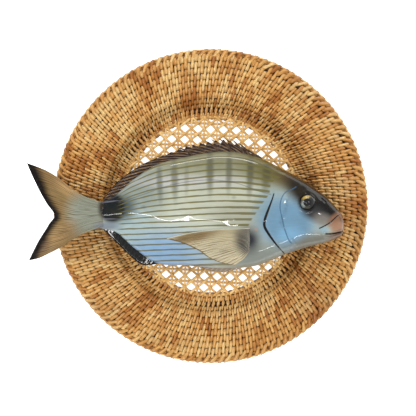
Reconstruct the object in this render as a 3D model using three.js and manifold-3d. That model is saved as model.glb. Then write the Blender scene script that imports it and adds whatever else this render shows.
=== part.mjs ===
// A sea bream lying on its flank across a round plate of coiled rattan with a woven cane centre.
// Millimetres, +Z up. The origin is the centre of the footprint, on the surface that the plate stands on.
// The fish points its head along +X and its back along +Y.
import * as THREE from "three";
import { mergeVertices } from "three/addons/utils/BufferGeometryUtils.js";
import Module from "manifold-3d";

const wasm = await Module();
wasm.setup();

// --- Driving dimensions of the plate, measured from the plate's own axis ---
const PLATE_RADIUS = 165;
const RIM_INNER_RADIUS = 159.6;
const HOOP_INNER_RADIUS = 91.3;
const COIL_START_RADIUS = 96.2;
const WELL_EDGE_RADIUS = 104.6;
const BRIM_START_RADIUS = 118;
const CORE_HALF_HEIGHT = 2.6;
const BRIM_START_HEIGHT = 9.8;
const BRIM_END_HEIGHT = 12.2;
const BEND_FOOT_RADIUS = 111;
const BEND_TOP_RADIUS = 111.5;
const BEND_TOP_HEIGHT = 9.4;
const GAP = 0.3;
const STEPS_PER_TURN = 40;

// The core's section is a hexagon, flat above and below: its corners stand out this much past its flats.
const SECTION_SIDES = 6;
const SECTION_CORNER = 1 / Math.cos(Math.PI / SECTION_SIDES);

// --- The coil: one row of core after another, winding outwards clockwise ---
const WELL_ROW_WIDTH = 5.2;
const WELL_TURNS = 2;
const FULL_TURNS = 10.5;
const TAPERED_TURNS = 1;
const COIL_START_DEGREES = 252;
const TAPER_HEIGHT_PER_WIDTH = 3;
const COIL_LENGTHS = [
  { name: "well_coil", from: 0, to: 2.5 },
  { name: "wall_coil", from: 2.5, to: 4 },
  { name: "inner_brim_coil", from: 4, to: 7.5 },
  { name: "outer_brim_coil", from: 7.5, to: FULL_TURNS + TAPERED_TURNS },
];

// --- The cane webbing ---
const CANE_THICKNESS = 1.6;
const CANE_RADIUS = 94.6;
const CANE_PITCH_X = 13.5;
const CANE_PITCH_Y = 11.9;
const CANE_TURN_DEGREES = -2.5;
const CANE_HOLE_HALF_X = 4.4;
const CANE_HOLE_HALF_Y = 4.1;
const CANE_OPEN_RADIUS = 90.5;
const CANE_OFFSET = new THREE.Vector2(-3.5, -2.6);

// --- The fish, lying in the XY plane, in the plate's own axes ---
// Each station gives the distance along the fish, the back and belly lines and half of the thickness.
const BODY_STATIONS = [
  { x: -131, back: -9, belly: -9, half: 0 },
  { x: -127, back: 4, belly: -22, half: 2.4 },
  { x: -113, back: 5.2, belly: -23.8, half: 5.5 },
  { x: -98, back: 12.8, belly: -28, half: 8.5 },
  { x: -80, back: 28.3, belly: -43.8, half: 13.5 },
  { x: -56, back: 43.2, belly: -59.8, half: 19.5 },
  { x: -24, back: 51.7, belly: -62.2, half: 24 },
  { x: 12, back: 57, belly: -65.2, half: 26 },
  { x: 46, back: 52, belly: -62.6, half: 26 },
  { x: 76, back: 38.2, belly: -51.2, half: 23.5 },
  { x: 100, back: 25, belly: -43.3, half: 19.5 },
  { x: 119, back: 10.8, belly: -38.6, half: 15 },
  { x: 131, back: -1.8, belly: -34.4, half: 11 },
  { x: 137, back: -9.5, belly: -30.2, half: 7.6 },
  { x: 139.6, back: -20, belly: -20, half: 0 },
];
const BODY_HALF_THICKNESS = 26;
const BODY_ROUND_STEPS = 20;
const BODY_LENGTH_STEPS = 28;
const STATION_SEARCH_STEPS = 24;
const TAIL_TIP_X = -192.6;
const TAIL_ROOT_X = -118;
const TAIL_THICKNESS = 4.4;
const TAIL_EDGE_SHARE = 0.45;
const TAIL_UPPER_EDGE = [[-119, 5.8], [-134, 11], [-148, 20.5], [-160, 30.6], [-174, 38.4], [TAIL_TIP_X, 45.2]];
const TAIL_UPPER_FORK = [[-183, 22.6], [-172, 4.2], [-163.6, -9.5]];
const TAIL_LOWER_FORK = [[-173.4, -25], [-183.6, -43.1], [-190.4, -56.8]];
const TAIL_ROOT_BACK = [-108, 3.5];
const TAIL_LOWER_EDGE = [[-176.3, -53.6], [-156.3, -43.1], [-137.4, -31], [-119.5, -24.2], [-108, -21.5]];

const FIN_THICKNESS = 2.6;
const FIN_CURVE_SEGMENTS = 3;
const DORSAL_SPINES = 8;
const DORSAL_FIRST_SPINE_X = 33;
const DORSAL_SPINE_PITCH = 9.2;
const DORSAL_SPINE_BLUNTNESS = 1;
const DORSAL_NOTCH_DEPTH = 3.4;
const DORSAL_CREST_SAMPLES = 80;
const DORSAL_CREST = [
  [44, 53.5], [33, 62], [15, 71], [-8, 68], [-30, 61.5], [-53, 51.8], [-74, 42], [-95, 27.3], [-113, 6.5],
];
const DORSAL_ROOT = [[-100, 4], [-60, 30], [-20, 42], [20, 46], [44, 44], [45, 53]];
const DORSAL_SOFT_EDGE = [[-42, 55.6], [-53, 51.8], [-74, 42], [-95, 27.3], [-104, 17.6], [-112, 7]];
const ANAL_ROOT = [[-56, -50], [-76, -40], [-100, -20], [-110, -19]];
const ANAL_EDGE = [[-112, -24.4], [-95, -41.4], [-80, -55.6], [-72, -61.4], [-62, -61.8], [-52, -59]];
const PELVIC_ROOT = [[34, -58], [30, -65.4]];
const PELVIC_EDGE = [[14, -68], [0, -67.4], [-9, -64.4], [-6, -58]];

// Raised patches on each flank: two edge lines that run the same way, and how far the patch stands out.
const PECTORAL_FIN = {
  first: [[45, -22], [16, -23.8], [-16, -27], [-46, -33]],
  second: [[38, -52], [18, -58.5], [-12, -47], [-46.4, -34.2]],
  lift: 1.2,
};
const GILL_COVER = {
  first: [[65.5, 13.1], [59, -4], [56, -20], [61, -31], [72, -43]],
  second: [[92, 16], [90, 0], [90, -14], [90, -26], [90, -38]],
  lift: 0.8,
};
const PATCH_SINK = 1.5;
const PATCH_STEPS = { along: 9, across: 5 };
const EYE_CENTRE = { x: 100.2, y: 3.7 };
const EYE_RADIUS = 7.6;
const EYE_SINK = 4.6;
const EYE_STEPS = { round: 14, down: 8 };
const TAIL_DROOP = 8;
const TAIL_DROOP_START_X = -50;

const FISH_MID_HEIGHT = 2 * CORE_HALF_HEIGHT + GAP + CANE_THICKNESS + GAP + BODY_HALF_THICKNESS;
const PLATE_AXIS_X = (-TAIL_TIP_X - PLATE_RADIUS) / 2;

// --- Finishes ---
const glazed = (colour) => new THREE.MeshStandardMaterial({ color: colour, roughness: 0.18, metalness: 0 });
const cane = (colour) => new THREE.MeshStandardMaterial({ color: colour, roughness: 0.55, metalness: 0 });

// --- Solids ---

// A closed geometry as a manifold solid: only shared positions are kept.
function solidOf(geometry) {
  const bare = geometry.clone();
  bare.deleteAttribute("normal");
  bare.deleteAttribute("uv");
  const merged = mergeVertices(bare, 1e-4);
  return new wasm.Manifold(
    new wasm.Mesh({
      numProp: 3,
      vertProperties: new Float32Array(merged.attributes.position.array),
      triVerts: new Uint32Array(merged.index.array),
    }),
  );
}

// A manifold solid as a geometry for a mesh.
function geometryOf(solid) {
  const mesh = solid.getMesh();
  const geometry = new THREE.BufferGeometry();
  geometry.setAttribute("position", new THREE.BufferAttribute(mesh.vertProperties, 3));
  geometry.setIndex(new THREE.BufferAttribute(mesh.triVerts, 1));
  geometry.computeVertexNormals();
  return geometry;
}

// Moves each vertex of a geometry to where place(point) puts it.
function reshaped(geometry, place) {
  const position = geometry.attributes.position;
  const point = new THREE.Vector3();
  for (let i = 0; i < position.count; i++) {
    place(point.fromBufferAttribute(position, i));
    position.setXYZ(i, point.x, point.y, point.z);
  }
  geometry.computeVertexNormals();
  return geometry;
}

function named(name, geometry, material) {
  const mesh = new THREE.Mesh(geometry, material);
  mesh.name = name;
  return mesh;
}

// --- The plate ---

// The line through the middles of the rows, seen in a cut through the plate: x is the radius, y the height.
const platePath = new THREE.Path();
platePath.moveTo(COIL_START_RADIUS, CORE_HALF_HEIGHT);
platePath.lineTo(WELL_EDGE_RADIUS, CORE_HALF_HEIGHT);
platePath.bezierCurveTo(
  BEND_FOOT_RADIUS, CORE_HALF_HEIGHT, BEND_TOP_RADIUS, BEND_TOP_HEIGHT, BRIM_START_RADIUS, BRIM_START_HEIGHT,
);
platePath.lineTo(RIM_INNER_RADIUS, BRIM_END_HEIGHT);
const PATH_LENGTH = platePath.getLength();
const BRIM_ROW_WIDTH = (PATH_LENGTH - WELL_TURNS * WELL_ROW_WIDTH) / (FULL_TURNS - WELL_TURNS);

// The distance along the path of the coil's outer side after so many turns, kept within the path.
function coilEdge(turns) {
  const wider = (BRIM_ROW_WIDTH - WELL_ROW_WIDTH) * Math.max(0, turns - WELL_TURNS);
  return THREE.MathUtils.clamp(WELL_ROW_WIDTH * turns + wider, 0, PATH_LENGTH);
}

// One length of the coil's core: a rod that follows the spiral, thin where its row starts or ends.
function coilLength({ from, to }) {
  const steps = Math.round((to - from) * STEPS_PER_TURN);
  const rod = new THREE.CylinderGeometry(1, 1, 1, SECTION_SIDES, steps);
  rod.rotateY(Math.PI / SECTION_SIDES);
  const endGap = GAP / (2 * Math.PI * PLATE_RADIUS);
  return reshaped(rod, (p) => {
    const turns = THREE.MathUtils.lerp(from + endGap, to - endGap, p.y + 0.5);
    const inner = coilEdge(turns - 1);
    const outer = coilEdge(turns);
    const share = THREE.MathUtils.clamp((inner + outer) / 2 / PATH_LENGTH, 0, 1);
    const centre = platePath.getPointAt(share);
    const along = platePath.getTangentAt(share);
    const width = Math.max(outer - inner - GAP, GAP) / 2;
    const height = Math.min(CORE_HALF_HEIGHT, TAPER_HEIGHT_PER_WIDTH * width);
    const across = p.x * width;
    const up = -p.z * SECTION_CORNER * height;
    const radius = centre.x + across * along.x - up * along.y;
    const angle = THREE.MathUtils.degToRad(COIL_START_DEGREES) - 2 * Math.PI * turns;
    p.set(radius * Math.cos(angle), radius * Math.sin(angle), centre.y + across * along.y + up * along.x);
  });
}

// A closed ring with the same section as the coil.
function hoop(innerRadius, outerRadius, height) {
  const halfWidth = (outerRadius - innerRadius) / 2;
  const outline = [];
  for (let i = 0; i <= SECTION_SIDES; i++) {
    const angle = (i % SECTION_SIDES) * ((2 * Math.PI) / SECTION_SIDES);
    const across = innerRadius + halfWidth + Math.cos(angle) * halfWidth;
    const up = height + Math.sin(angle) * SECTION_CORNER * CORE_HALF_HEIGHT;
    outline.push(new THREE.Vector2(across, up));
  }
  return new THREE.LatheGeometry(outline, STEPS_PER_TURN).rotateX(Math.PI / 2);
}

// The webbing: a round sheet with a diamond opening in each mesh of the weave.
function caneWebbing(height) {
  const sheet = new THREE.Shape().absarc(0, 0, CANE_RADIUS, 0, 2 * Math.PI);
  const turn = THREE.MathUtils.degToRad(CANE_TURN_DEGREES);
  const origin = new THREE.Vector2();
  const rows = Math.ceil(CANE_RADIUS / CANE_PITCH_Y);
  const columns = Math.ceil(CANE_RADIUS / CANE_PITCH_X);
  for (let row = -rows; row <= rows; row++) {
    for (let column = -columns; column <= columns; column++) {
      const centre = new THREE.Vector2(column * CANE_PITCH_X, row * CANE_PITCH_Y).add(CANE_OFFSET);
      const corners = [
        new THREE.Vector2(CANE_HOLE_HALF_X, 0),
        new THREE.Vector2(0, -CANE_HOLE_HALF_Y),
        new THREE.Vector2(-CANE_HOLE_HALF_X, 0),
        new THREE.Vector2(0, CANE_HOLE_HALF_Y),
      ].map((corner) => corner.add(centre).rotateAround(origin, turn));
      if (corners.every((corner) => corner.length() < CANE_OPEN_RADIUS)) {
        sheet.holes.push(new THREE.Path(corners));
      }
    }
  }
  const webbing = new THREE.ExtrudeGeometry(sheet, {
    depth: CANE_THICKNESS,
    bevelEnabled: false,
    curveSegments: STEPS_PER_TURN,
  });
  return webbing.translate(0, 0, height);
}

// --- The fish ---

const backLine = new THREE.SplineCurve(BODY_STATIONS.map((s) => new THREE.Vector2(s.x, s.back)));
const bellyLine = new THREE.SplineCurve(BODY_STATIONS.map((s) => new THREE.Vector2(s.x, s.belly)));
const flankLine = new THREE.SplineCurve(BODY_STATIONS.map((s) => new THREE.Vector2(s.x, s.half)));

// The body's section at a share of its length, from 0 at the tail to 1 at the snout.
function section(share) {
  const back = backLine.getPoint(share);
  const belly = bellyLine.getPoint(share);
  const half = Math.max(0, flankLine.getPoint(share).y);
  return { x: back.x, middle: (back.y + belly.y) / 2, reach: (back.y - belly.y) / 2, half };
}

// How far the flank stands out from the fish's middle plane at a place on it.
function flankHeight(x, y) {
  let low = 0;
  let high = 1;
  for (let i = 0; i < STATION_SEARCH_STEPS; i++) {
    const share = (low + high) / 2;
    if (section(share).x < x) low = share;
    else high = share;
  }
  const { middle, reach, half } = section(low);
  const across = THREE.MathUtils.clamp((y - middle) / reach, -1, 1);
  return half * Math.sqrt(1 - across * across);
}

function body() {
  const ball = new THREE.SphereGeometry(1, BODY_ROUND_STEPS, BODY_LENGTH_STEPS);
  return solidOf(
    reshaped(ball, (p) => {
      const round = Math.atan2(p.z, p.x);
      const { x, middle, reach, half } = section(Math.acos(THREE.MathUtils.clamp(p.y, -1, 1)) / Math.PI);
      p.set(x, middle + reach * Math.cos(round), half * Math.sin(round));
    }),
  );
}

const points = (pairs) => pairs.map(([x, y]) => new THREE.Vector2(x, y));

// A straight-sided outline through these places.
const outlineThrough = (pairs) => new THREE.Shape(points(pairs));

// A flat fin in the fish's middle plane.
function flatFin(outline, thickness) {
  const shape = { depth: thickness, bevelEnabled: false, curveSegments: FIN_CURVE_SEGMENTS };
  const fin = new THREE.ExtrudeGeometry(outline, shape);
  return fin.translate(0, 0, -thickness / 2);
}

function tailFin() {
  const outline = outlineThrough([TAIL_ROOT_BACK]);
  for (const edge of [TAIL_UPPER_EDGE, TAIL_UPPER_FORK, TAIL_LOWER_FORK, TAIL_LOWER_EDGE]) {
    outline.splineThru(points(edge));
  }
  const fin = flatFin(outline, TAIL_THICKNESS);
  return solidOf(
    reshaped(fin, (p) => {
      const outwards = THREE.MathUtils.clamp((TAIL_ROOT_X - p.x) / (TAIL_ROOT_X - TAIL_TIP_X), 0, 1);
      p.z *= THREE.MathUtils.lerp(1, TAIL_EDGE_SHARE, outwards);
    }),
  );
}

// The dorsal fin: pointed spines swept back over its front half, then a soft rear part.
function dorsalFin() {
  const crest = new THREE.SplineCurve(points(DORSAL_CREST)).getPoints(DORSAL_CREST_SAMPLES);
  const crestAt = (x) => crest.reduce((a, b) => (Math.abs(b.x - x) < Math.abs(a.x - x) ? b : a)).y;
  const outline = outlineThrough(DORSAL_ROOT);
  for (let i = 0; i < DORSAL_SPINES; i++) {
    const tip = DORSAL_FIRST_SPINE_X - i * DORSAL_SPINE_PITCH;
    outline.lineTo(tip, crestAt(tip));
    outline.lineTo(tip - DORSAL_SPINE_BLUNTNESS, crestAt(tip) - DORSAL_NOTCH_DEPTH);
  }
  outline.splineThru(points(DORSAL_SOFT_EDGE));
  return solidOf(flatFin(outline, FIN_THICKNESS));
}

// A fin with a straight root inside the body and a rounded free edge.
function lobedFin(root, edge) {
  const outline = outlineThrough(root);
  outline.splineThru(points(edge));
  return solidOf(flatFin(outline, FIN_THICKNESS));
}

// A thin raised patch on one flank. side is 1 above, -1 below.
function flankPatch({ first, second, lift }, side) {
  const firstEdge = new THREE.SplineCurve(points(first));
  const secondEdge = new THREE.SplineCurve(points(second));
  const patch = new THREE.BoxGeometry(1, 1, 1, PATCH_STEPS.along, PATCH_STEPS.across, 1);
  reshaped(patch, (p) => {
    const place = firstEdge.getPoint(p.x + 0.5).lerp(secondEdge.getPoint(p.x + 0.5), p.y + 0.5);
    const rise = THREE.MathUtils.lerp(-PATCH_SINK, lift, p.z + 0.5);
    p.set(place.x, place.y, flankHeight(place.x, place.y) + rise);
  });
  const facingOut = solidOf(patch).volume() > 0 ? patch : flipped(patch);
  return side > 0 ? solidOf(facingOut) : solidOf(facingOut).mirror([0, 0, 1]);
}

// The same surface with each triangle turned round.
function flipped(geometry) {
  const turned = geometry.clone();
  const corners = turned.index.array;
  for (let i = 0; i < corners.length; i += 3) {
    [corners[i + 1], corners[i + 2]] = [corners[i + 2], corners[i + 1]];
  }
  return turned;
}

function eye(side) {
  const ball = new THREE.SphereGeometry(EYE_RADIUS, EYE_STEPS.round, EYE_STEPS.down);
  const height = flankHeight(EYE_CENTRE.x, EYE_CENTRE.y) - EYE_SINK;
  return solidOf(ball.translate(EYE_CENTRE.x, EYE_CENTRE.y, side * height));
}

// The whole fish is one piece: body, fins, gill covers and eyes joined. Its stiff tail droops a little.
function seaBream() {
  let fish = body().add(tailFin()).add(dorsalFin());
  fish = fish.add(lobedFin(ANAL_ROOT, ANAL_EDGE)).add(lobedFin(PELVIC_ROOT, PELVIC_EDGE));
  for (const side of [1, -1]) {
    fish = fish.add(flankPatch(PECTORAL_FIN, side)).add(flankPatch(GILL_COVER, side)).add(eye(side));
  }
  const droopSpan = TAIL_DROOP_START_X - TAIL_TIP_X;
  return reshaped(geometryOf(fish), (p) => {
    const towardsTail = Math.max(0, (TAIL_DROOP_START_X - p.x) / droopSpan);
    p.z += FISH_MID_HEIGHT - TAIL_DROOP * towardsTail * towardsTail;
  });
}

// --- The whole object ---

const seaBreamOnPlate = new THREE.Group();
seaBreamOnPlate.position.x = PLATE_AXIS_X;

const rattanShades = [0xc08a4a, 0xa8743a, 0xcf9c5c, 0xc69252];
COIL_LENGTHS.forEach((length, i) => {
  seaBreamOnPlate.add(named(length.name, coilLength(length), cane(rattanShades[i])));
});
const caneHoop = hoop(HOOP_INNER_RADIUS, COIL_START_RADIUS - GAP / 2, CORE_HALF_HEIGHT);
seaBreamOnPlate.add(named("cane_hoop", caneHoop, cane(0xc99a58)));
const rimBorder = hoop(RIM_INNER_RADIUS + GAP / 2, PLATE_RADIUS, BRIM_END_HEIGHT);
seaBreamOnPlate.add(named("rim_border", rimBorder, cane(0xb98548)));
const webbing = caneWebbing(2 * CORE_HALF_HEIGHT + GAP);
seaBreamOnPlate.add(named("cane_webbing", webbing, cane(0xe0b878)));
seaBreamOnPlate.add(named("sea_bream", seaBream(), glazed(0x9fb0b8)));

export default seaBreamOnPlate;
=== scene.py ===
"""A glazed sea bream lying on a round plate of coiled, lashed rattan with a woven cane centre.

Lengths are in millimetres from the plate's own axis, with the head of the fish towards +X and
its back towards +Y, unless a name or docstring says metres. Each piece becomes metres in the
row frame when it is finished.
"""

import logging
import math
import random
from bisect import bisect_right
from dataclasses import dataclass, field
from enum import Enum
from typing import Callable, Iterable, Sequence

import bmesh
import bpy
from mathutils import Matrix, Vector, noise


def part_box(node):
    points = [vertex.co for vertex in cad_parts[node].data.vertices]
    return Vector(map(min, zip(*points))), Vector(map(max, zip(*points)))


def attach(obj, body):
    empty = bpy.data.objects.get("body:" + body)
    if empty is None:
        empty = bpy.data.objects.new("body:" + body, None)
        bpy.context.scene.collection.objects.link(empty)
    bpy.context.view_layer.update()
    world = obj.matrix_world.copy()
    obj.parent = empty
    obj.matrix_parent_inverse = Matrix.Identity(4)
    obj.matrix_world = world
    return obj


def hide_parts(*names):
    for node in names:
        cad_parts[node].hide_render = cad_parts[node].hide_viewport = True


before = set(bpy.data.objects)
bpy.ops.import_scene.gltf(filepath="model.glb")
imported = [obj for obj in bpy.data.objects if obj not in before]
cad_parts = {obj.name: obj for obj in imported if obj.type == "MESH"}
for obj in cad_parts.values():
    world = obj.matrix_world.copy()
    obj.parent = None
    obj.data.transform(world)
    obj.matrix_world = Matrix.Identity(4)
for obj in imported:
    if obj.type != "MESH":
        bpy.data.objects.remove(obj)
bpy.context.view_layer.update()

log = logging.getLogger("sea_bream_on_plate")

MM = 0.001
FULL_TURN = 2 * math.pi
WELD = 1e-4

Point = tuple[float, float]
Colour = tuple[float, float, float, float]
Placing = Callable[[float, float], Vector]
Socket = bpy.types.NodeSocket


class Slot(Enum):
    """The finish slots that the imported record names."""

    GLAZE = "fish_glaze"
    CANE = "cane_strand"
    LASHING = "rattan_lashing"
    RIM = "rim_braid"


class Flank(Enum):
    """The two sides of the fish: the one that shows and the one it lies on."""

    UPPER = 1
    LOWER = -1


def paint(red: int, green: int, blue: int) -> Colour:
    """A colour mixed from 0 to 255 as it looks, turned into light amounts.

    Args:
        red: the red part.
        green: the green part.
        blue: the blue part.

    Returns:
        The four channels that shader sockets take.
    """
    parts = [channel / 255 for channel in (red, green, blue)]
    light = [p / 12.92 if p <= 0.04045 else ((p + 0.055) / 1.055) ** 2.4 for p in parts]
    return (light[0], light[1], light[2], 1.0)


def mixed(first: float, second: float, share: float) -> float:
    """The value that lies a share of the way from first to second."""
    return first + (second - first) * share


def eased(low: float, high: float, value: float) -> float:
    """Rises smoothly from 0 at low to 1 at high; falls when high is below low."""
    share = min(max((value - low) / (high - low), 0.0), 1.0)
    return share * share * (3 - 2 * share)


def mound(distance: float, reach: float) -> float:
    """A bell curve, 1 at no distance and almost nothing at twice the reach."""
    return math.exp(-((distance / reach) ** 2))


@dataclass(frozen=True)
class Trace:
    """A smooth line drawn through marked places."""

    marks: tuple[Point, ...]

    def at(self, share: float) -> Vector:
        """Finds a place along the line.

        Args:
            share: how far along, from 0 to 1, evenly shared among the marks.

        Returns:
            The place, as a flat vector.
        """
        last = len(self.marks) - 1
        reach = min(max(share, 0.0), 1.0) * last
        start = min(int(reach), last - 1)
        t = reach - start
        a, b, c, d = (
            Vector(self.marks[min(max(i, 0), last)]) for i in range(start - 1, start + 3)
        )
        bend = (2 * a - 5 * b + 4 * c - d) + t * (3 * (b - c) + d - a)
        return b + 0.5 * t * ((c - a) + t * bend)

    def walk(self, steps: int) -> list[Vector]:
        """Evenly shared places from the first mark to the last."""
        return [self.at(i / steps) for i in range(steps + 1)]


def through(*marks: Point) -> Trace:
    """The smooth line through marked places."""
    return Trace(marks)


@dataclass
class Crease:
    """A line on the flank with a quick answer to how far a place is from it."""

    trace: Trace
    steps: int = 36
    search: float = 16.0
    places: list[Vector] = field(init=False)

    def __post_init__(self) -> None:
        """Samples the line once."""
        self.places = self.trace.walk(self.steps)

    def read(self, x: float, y: float) -> tuple[float, float]:
        """Measures a place against the line.

        Args:
            x: distance along the fish.
            y: distance across the fish.

        Returns:
            The distance, positive to the right of the line's direction, capped at the search
            distance; and 1 for a place close beside the line, falling to 0 away from it and
            past its ends.
        """
        best, side, beside = self.search, 1.0, 0.0
        last = len(self.places) - 2
        for i, (near, far) in enumerate(zip(self.places, self.places[1:])):
            run_x, run_y = far.x - near.x, far.y - near.y
            gap_x, gap_y = x - near.x, y - near.y
            if abs(gap_x) > self.search or abs(gap_y) > self.search:
                continue
            share = (gap_x * run_x + gap_y * run_y) / (run_x * run_x + run_y * run_y)
            past = share < 0 and i == 0 or share > 1 and i == last
            share = min(max(share, 0.0), 1.0)
            distance = math.hypot(gap_x - share * run_x, gap_y - share * run_y)
            if distance < best:
                best = distance
                side = -1.0 if run_x * gap_y - run_y * gap_x > 0 else 1.0
                beside = 0.0 if past else 1.0
        return best * side, beside * eased(7.0, 4.0, best)


def creased(*marks: Point) -> Crease:
    """A field's starting value: a crease through marked places."""
    return field(default_factory=lambda: Crease(Trace(marks)))


class Bench:
    """Gathers skins in one bmesh and turns them into a finished piece of the object."""

    def __init__(self, name: str, channels: Sequence[str] = ()) -> None:
        """Clears the bench.

        Args:
            name: the name of the piece.
            channels: names of the numbers kept at each vertex for the finish.
        """
        self.name = name
        self.mesh = bmesh.new()
        self.surface = self.mesh.loops.layers.uv.new("surface")
        self.channels = {c: self.mesh.verts.layers.float.new(c) for c in channels}

    def skin(
        self,
        along: int,
        across: int,
        place: Placing,
        mark: Callable[[float, float], dict[str, float]] | None = None,
        finish: int = 0,
    ) -> None:
        """Bends a grid into a skin and closes it wherever its edges meet.

        Args:
            along: steps in the first direction.
            across: steps in the second direction.
            place: gives the position for two shares from 0 to 1.
            mark: gives the channel values for the same shares.
            finish: which of the piece's finishes the skin takes.
        """
        made = bmesh.ops.create_grid(
            self.mesh, x_segments=along, y_segments=across, size=1.0, calc_uvs=True
        )["verts"]
        for face in {f for vert in made for f in vert.link_faces}:
            face.material_index = finish
            face.smooth = True
        for vert in made:
            u, v = (vert.co.x + 1) / 2, (vert.co.y + 1) / 2
            if mark is not None:
                for channel, value in mark(u, v).items():
                    vert[self.channels[channel]] = value
            vert.co = place(u, v)
        bmesh.ops.remove_doubles(self.mesh, verts=made, dist=WELD)

    def close_ends(self) -> None:
        """Fills every opening that is left in the skins."""
        edges = [edge for edge in self.mesh.edges if edge.is_boundary]
        for face in bmesh.ops.holes_fill(self.mesh, edges=edges, sides=0)["faces"]:
            face.smooth = True

    def piece(
        self, node: str, slot: Slot, finishes: Sequence[bpy.types.Material], axis: Vector
    ) -> None:
        """Finishes the piece and hands it to the frame.

        Args:
            node: the CAD node that it stands for.
            slot: the record's finish slot; not used.
            finishes: the materials of its skins.
            axis: where the plate's axis meets the ground, in metres.
        """
        to_frame = Matrix.Translation(axis) @ Matrix.Scale(MM, 4)
        bmesh.ops.recalc_face_normals(self.mesh, faces=self.mesh.faces)
        bmesh.ops.transform(self.mesh, matrix=to_frame, verts=self.mesh.verts)
        mesh = bpy.data.meshes.new(self.name)
        self.mesh.to_mesh(mesh)
        self.mesh.free()
        for finish in finishes:
            mesh.materials.append(finish)
        made = bpy.data.objects.new(self.name, mesh)
        bpy.context.scene.collection.objects.link(made)
        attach(made, "root")
        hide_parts(node)
        log.info("%s: %d faces", self.name, len(mesh.polygons))


class Wiring:
    """Adds and joins shader nodes in one tree."""

    def __init__(self, tree: bpy.types.NodeTree) -> None:
        """Takes the tree to work in."""
        self.tree = tree

    def add(self, kind: str, **settings: object) -> bpy.types.Node:
        """Adds a node of a kind, with its settings."""
        node = self.tree.nodes.new("ShaderNode" + kind)
        for name, value in settings.items():
            setattr(node, name, value)
        return node

    def feed(self, socket: Socket, value: object) -> None:
        """Joins a socket to another, or gives it a plain value."""
        if isinstance(value, bpy.types.NodeSocket):
            self.tree.links.new(value, socket)
        else:
            socket.default_value = value

    def give(self, node: bpy.types.Node, **inputs: object) -> bpy.types.Node:
        """Feeds a node's inputs; underscores in a name stand for its spaces."""
        for name, value in inputs.items():
            self.feed(node.inputs[name.replace("_", " ")], value)
        return node

    def maths(self, operation: str, *values: object) -> Socket:
        """Works out one number from up to three."""
        node = self.add("Math", operation=operation)
        for socket, value in zip(node.inputs, values):
            self.feed(socket, value)
        return node.outputs[0]

    def times(self, first: object, second: object) -> Socket:
        """One number times another."""
        return self.maths("MULTIPLY", first, second)

    def plus(self, first: object, second: object) -> Socket:
        """Two numbers together."""
        return self.maths("ADD", first, second)

    def minus(self, first: object, second: object) -> Socket:
        """The first number less the second."""
        return self.maths("SUBTRACT", first, second)

    def scaled(self, value: object, gain: float, base: float) -> Socket:
        """A number times a gain, on top of a base."""
        return self.maths("MULTIPLY_ADD", value, gain, base)

    def vectors(self, operation: str, *values: object) -> Socket:
        """Works out one vector, or a length, from up to three."""
        node = self.add("VectorMath", operation=operation)
        for socket, value in zip(node.inputs, values):
            self.feed(socket, value)
        return node.outputs["Value" if operation == "LENGTH" else "Vector"]

    def ease(self, value: object, low: object, high: object) -> Socket:
        """Rises smoothly from 0 where the value is low to 1 where it is high."""
        node = self.add("MapRange", interpolation_type="SMOOTHSTEP")
        for name, given in (("Value", value), ("From Min", low), ("From Max", high)):
            self.feed(node.inputs[name], given)
        return node.outputs[0]

    def cover(self, under: object, over: object, amount: object, mode: str = "MIX") -> Socket:
        """Lays one colour over another.

        Args:
            under: the colour below.
            over: the colour on top.
            amount: how much of the top one shows.
            mode: how they mix.

        Returns:
            The mixed colour.
        """
        node = self.add("Mix", data_type="RGBA", blend_type=mode, clamp_factor=True)
        for index, value in ((0, amount), (6, under), (7, over)):
            self.feed(node.inputs[index], value)
        return node.outputs[2]

    def cloud(self, vector: Socket, scale: object, detail: float = 3.0) -> Socket:
        """Soft random patches from 0 to 1."""
        return self.give(self.add("TexNoise"), Vector=vector, Scale=scale, Detail=detail).outputs[0]

    def channel(self, name: str) -> Socket:
        """The number that the mesh keeps under a name."""
        return self.add("Attribute", attribute_name=name).outputs["Fac"]

    def place_mm(self, axis: Vector) -> Socket:
        """The place on the object, in millimetres from the plate's axis."""
        return self.give(
            self.add("Mapping", vector_type="POINT"),
            Vector=self.add("TexCoord").outputs["Object"],
            Location=-axis / MM,
            Scale=(1 / MM, 1 / MM, 1 / MM),
        ).outputs[0]

    def use(self, group: bpy.types.NodeTree, **inputs: object) -> bpy.types.Node:
        """Places a node group and feeds its inputs."""
        return self.give(self.add("Group", node_tree=group), **inputs)

    def bump(self, height: object, strength: float, distance: float) -> Socket:
        """A normal raised by a height; the distance is in metres."""
        node = self.add("Bump")
        return self.give(node, Height=height, Strength=strength, Distance=distance).outputs["Normal"]


def new_group(
    name: str, inputs: dict[str, object], outputs: Sequence[str]
) -> tuple[Wiring, dict[str, Socket], dict[str, Socket]]:
    """Starts a shader node group.

    Args:
        name: what the group is called.
        inputs: the starting value of each input; three numbers make a vector.
        outputs: the names of the values it puts out.

    Returns:
        Its wiring, its inputs as seen inside, and its outputs as seen inside.
    """
    tree = bpy.data.node_groups.new(name, "ShaderNodeTree")
    for label, value in inputs.items():
        kind = "NodeSocketFloat" if isinstance(value, float) else "NodeSocketVector"
        tree.interface.new_socket(label, in_out="INPUT", socket_type=kind).default_value = value
    for label in outputs:
        tree.interface.new_socket(label, in_out="OUTPUT", socket_type="NodeSocketFloat")
    inside = tree.nodes.new("NodeGroupInput").outputs
    outside = tree.nodes.new("NodeGroupOutput").inputs
    return (
        Wiring(tree),
        {label: inside[label] for label in inputs},
        {label: outside[label] for label in outputs},
    )


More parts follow.
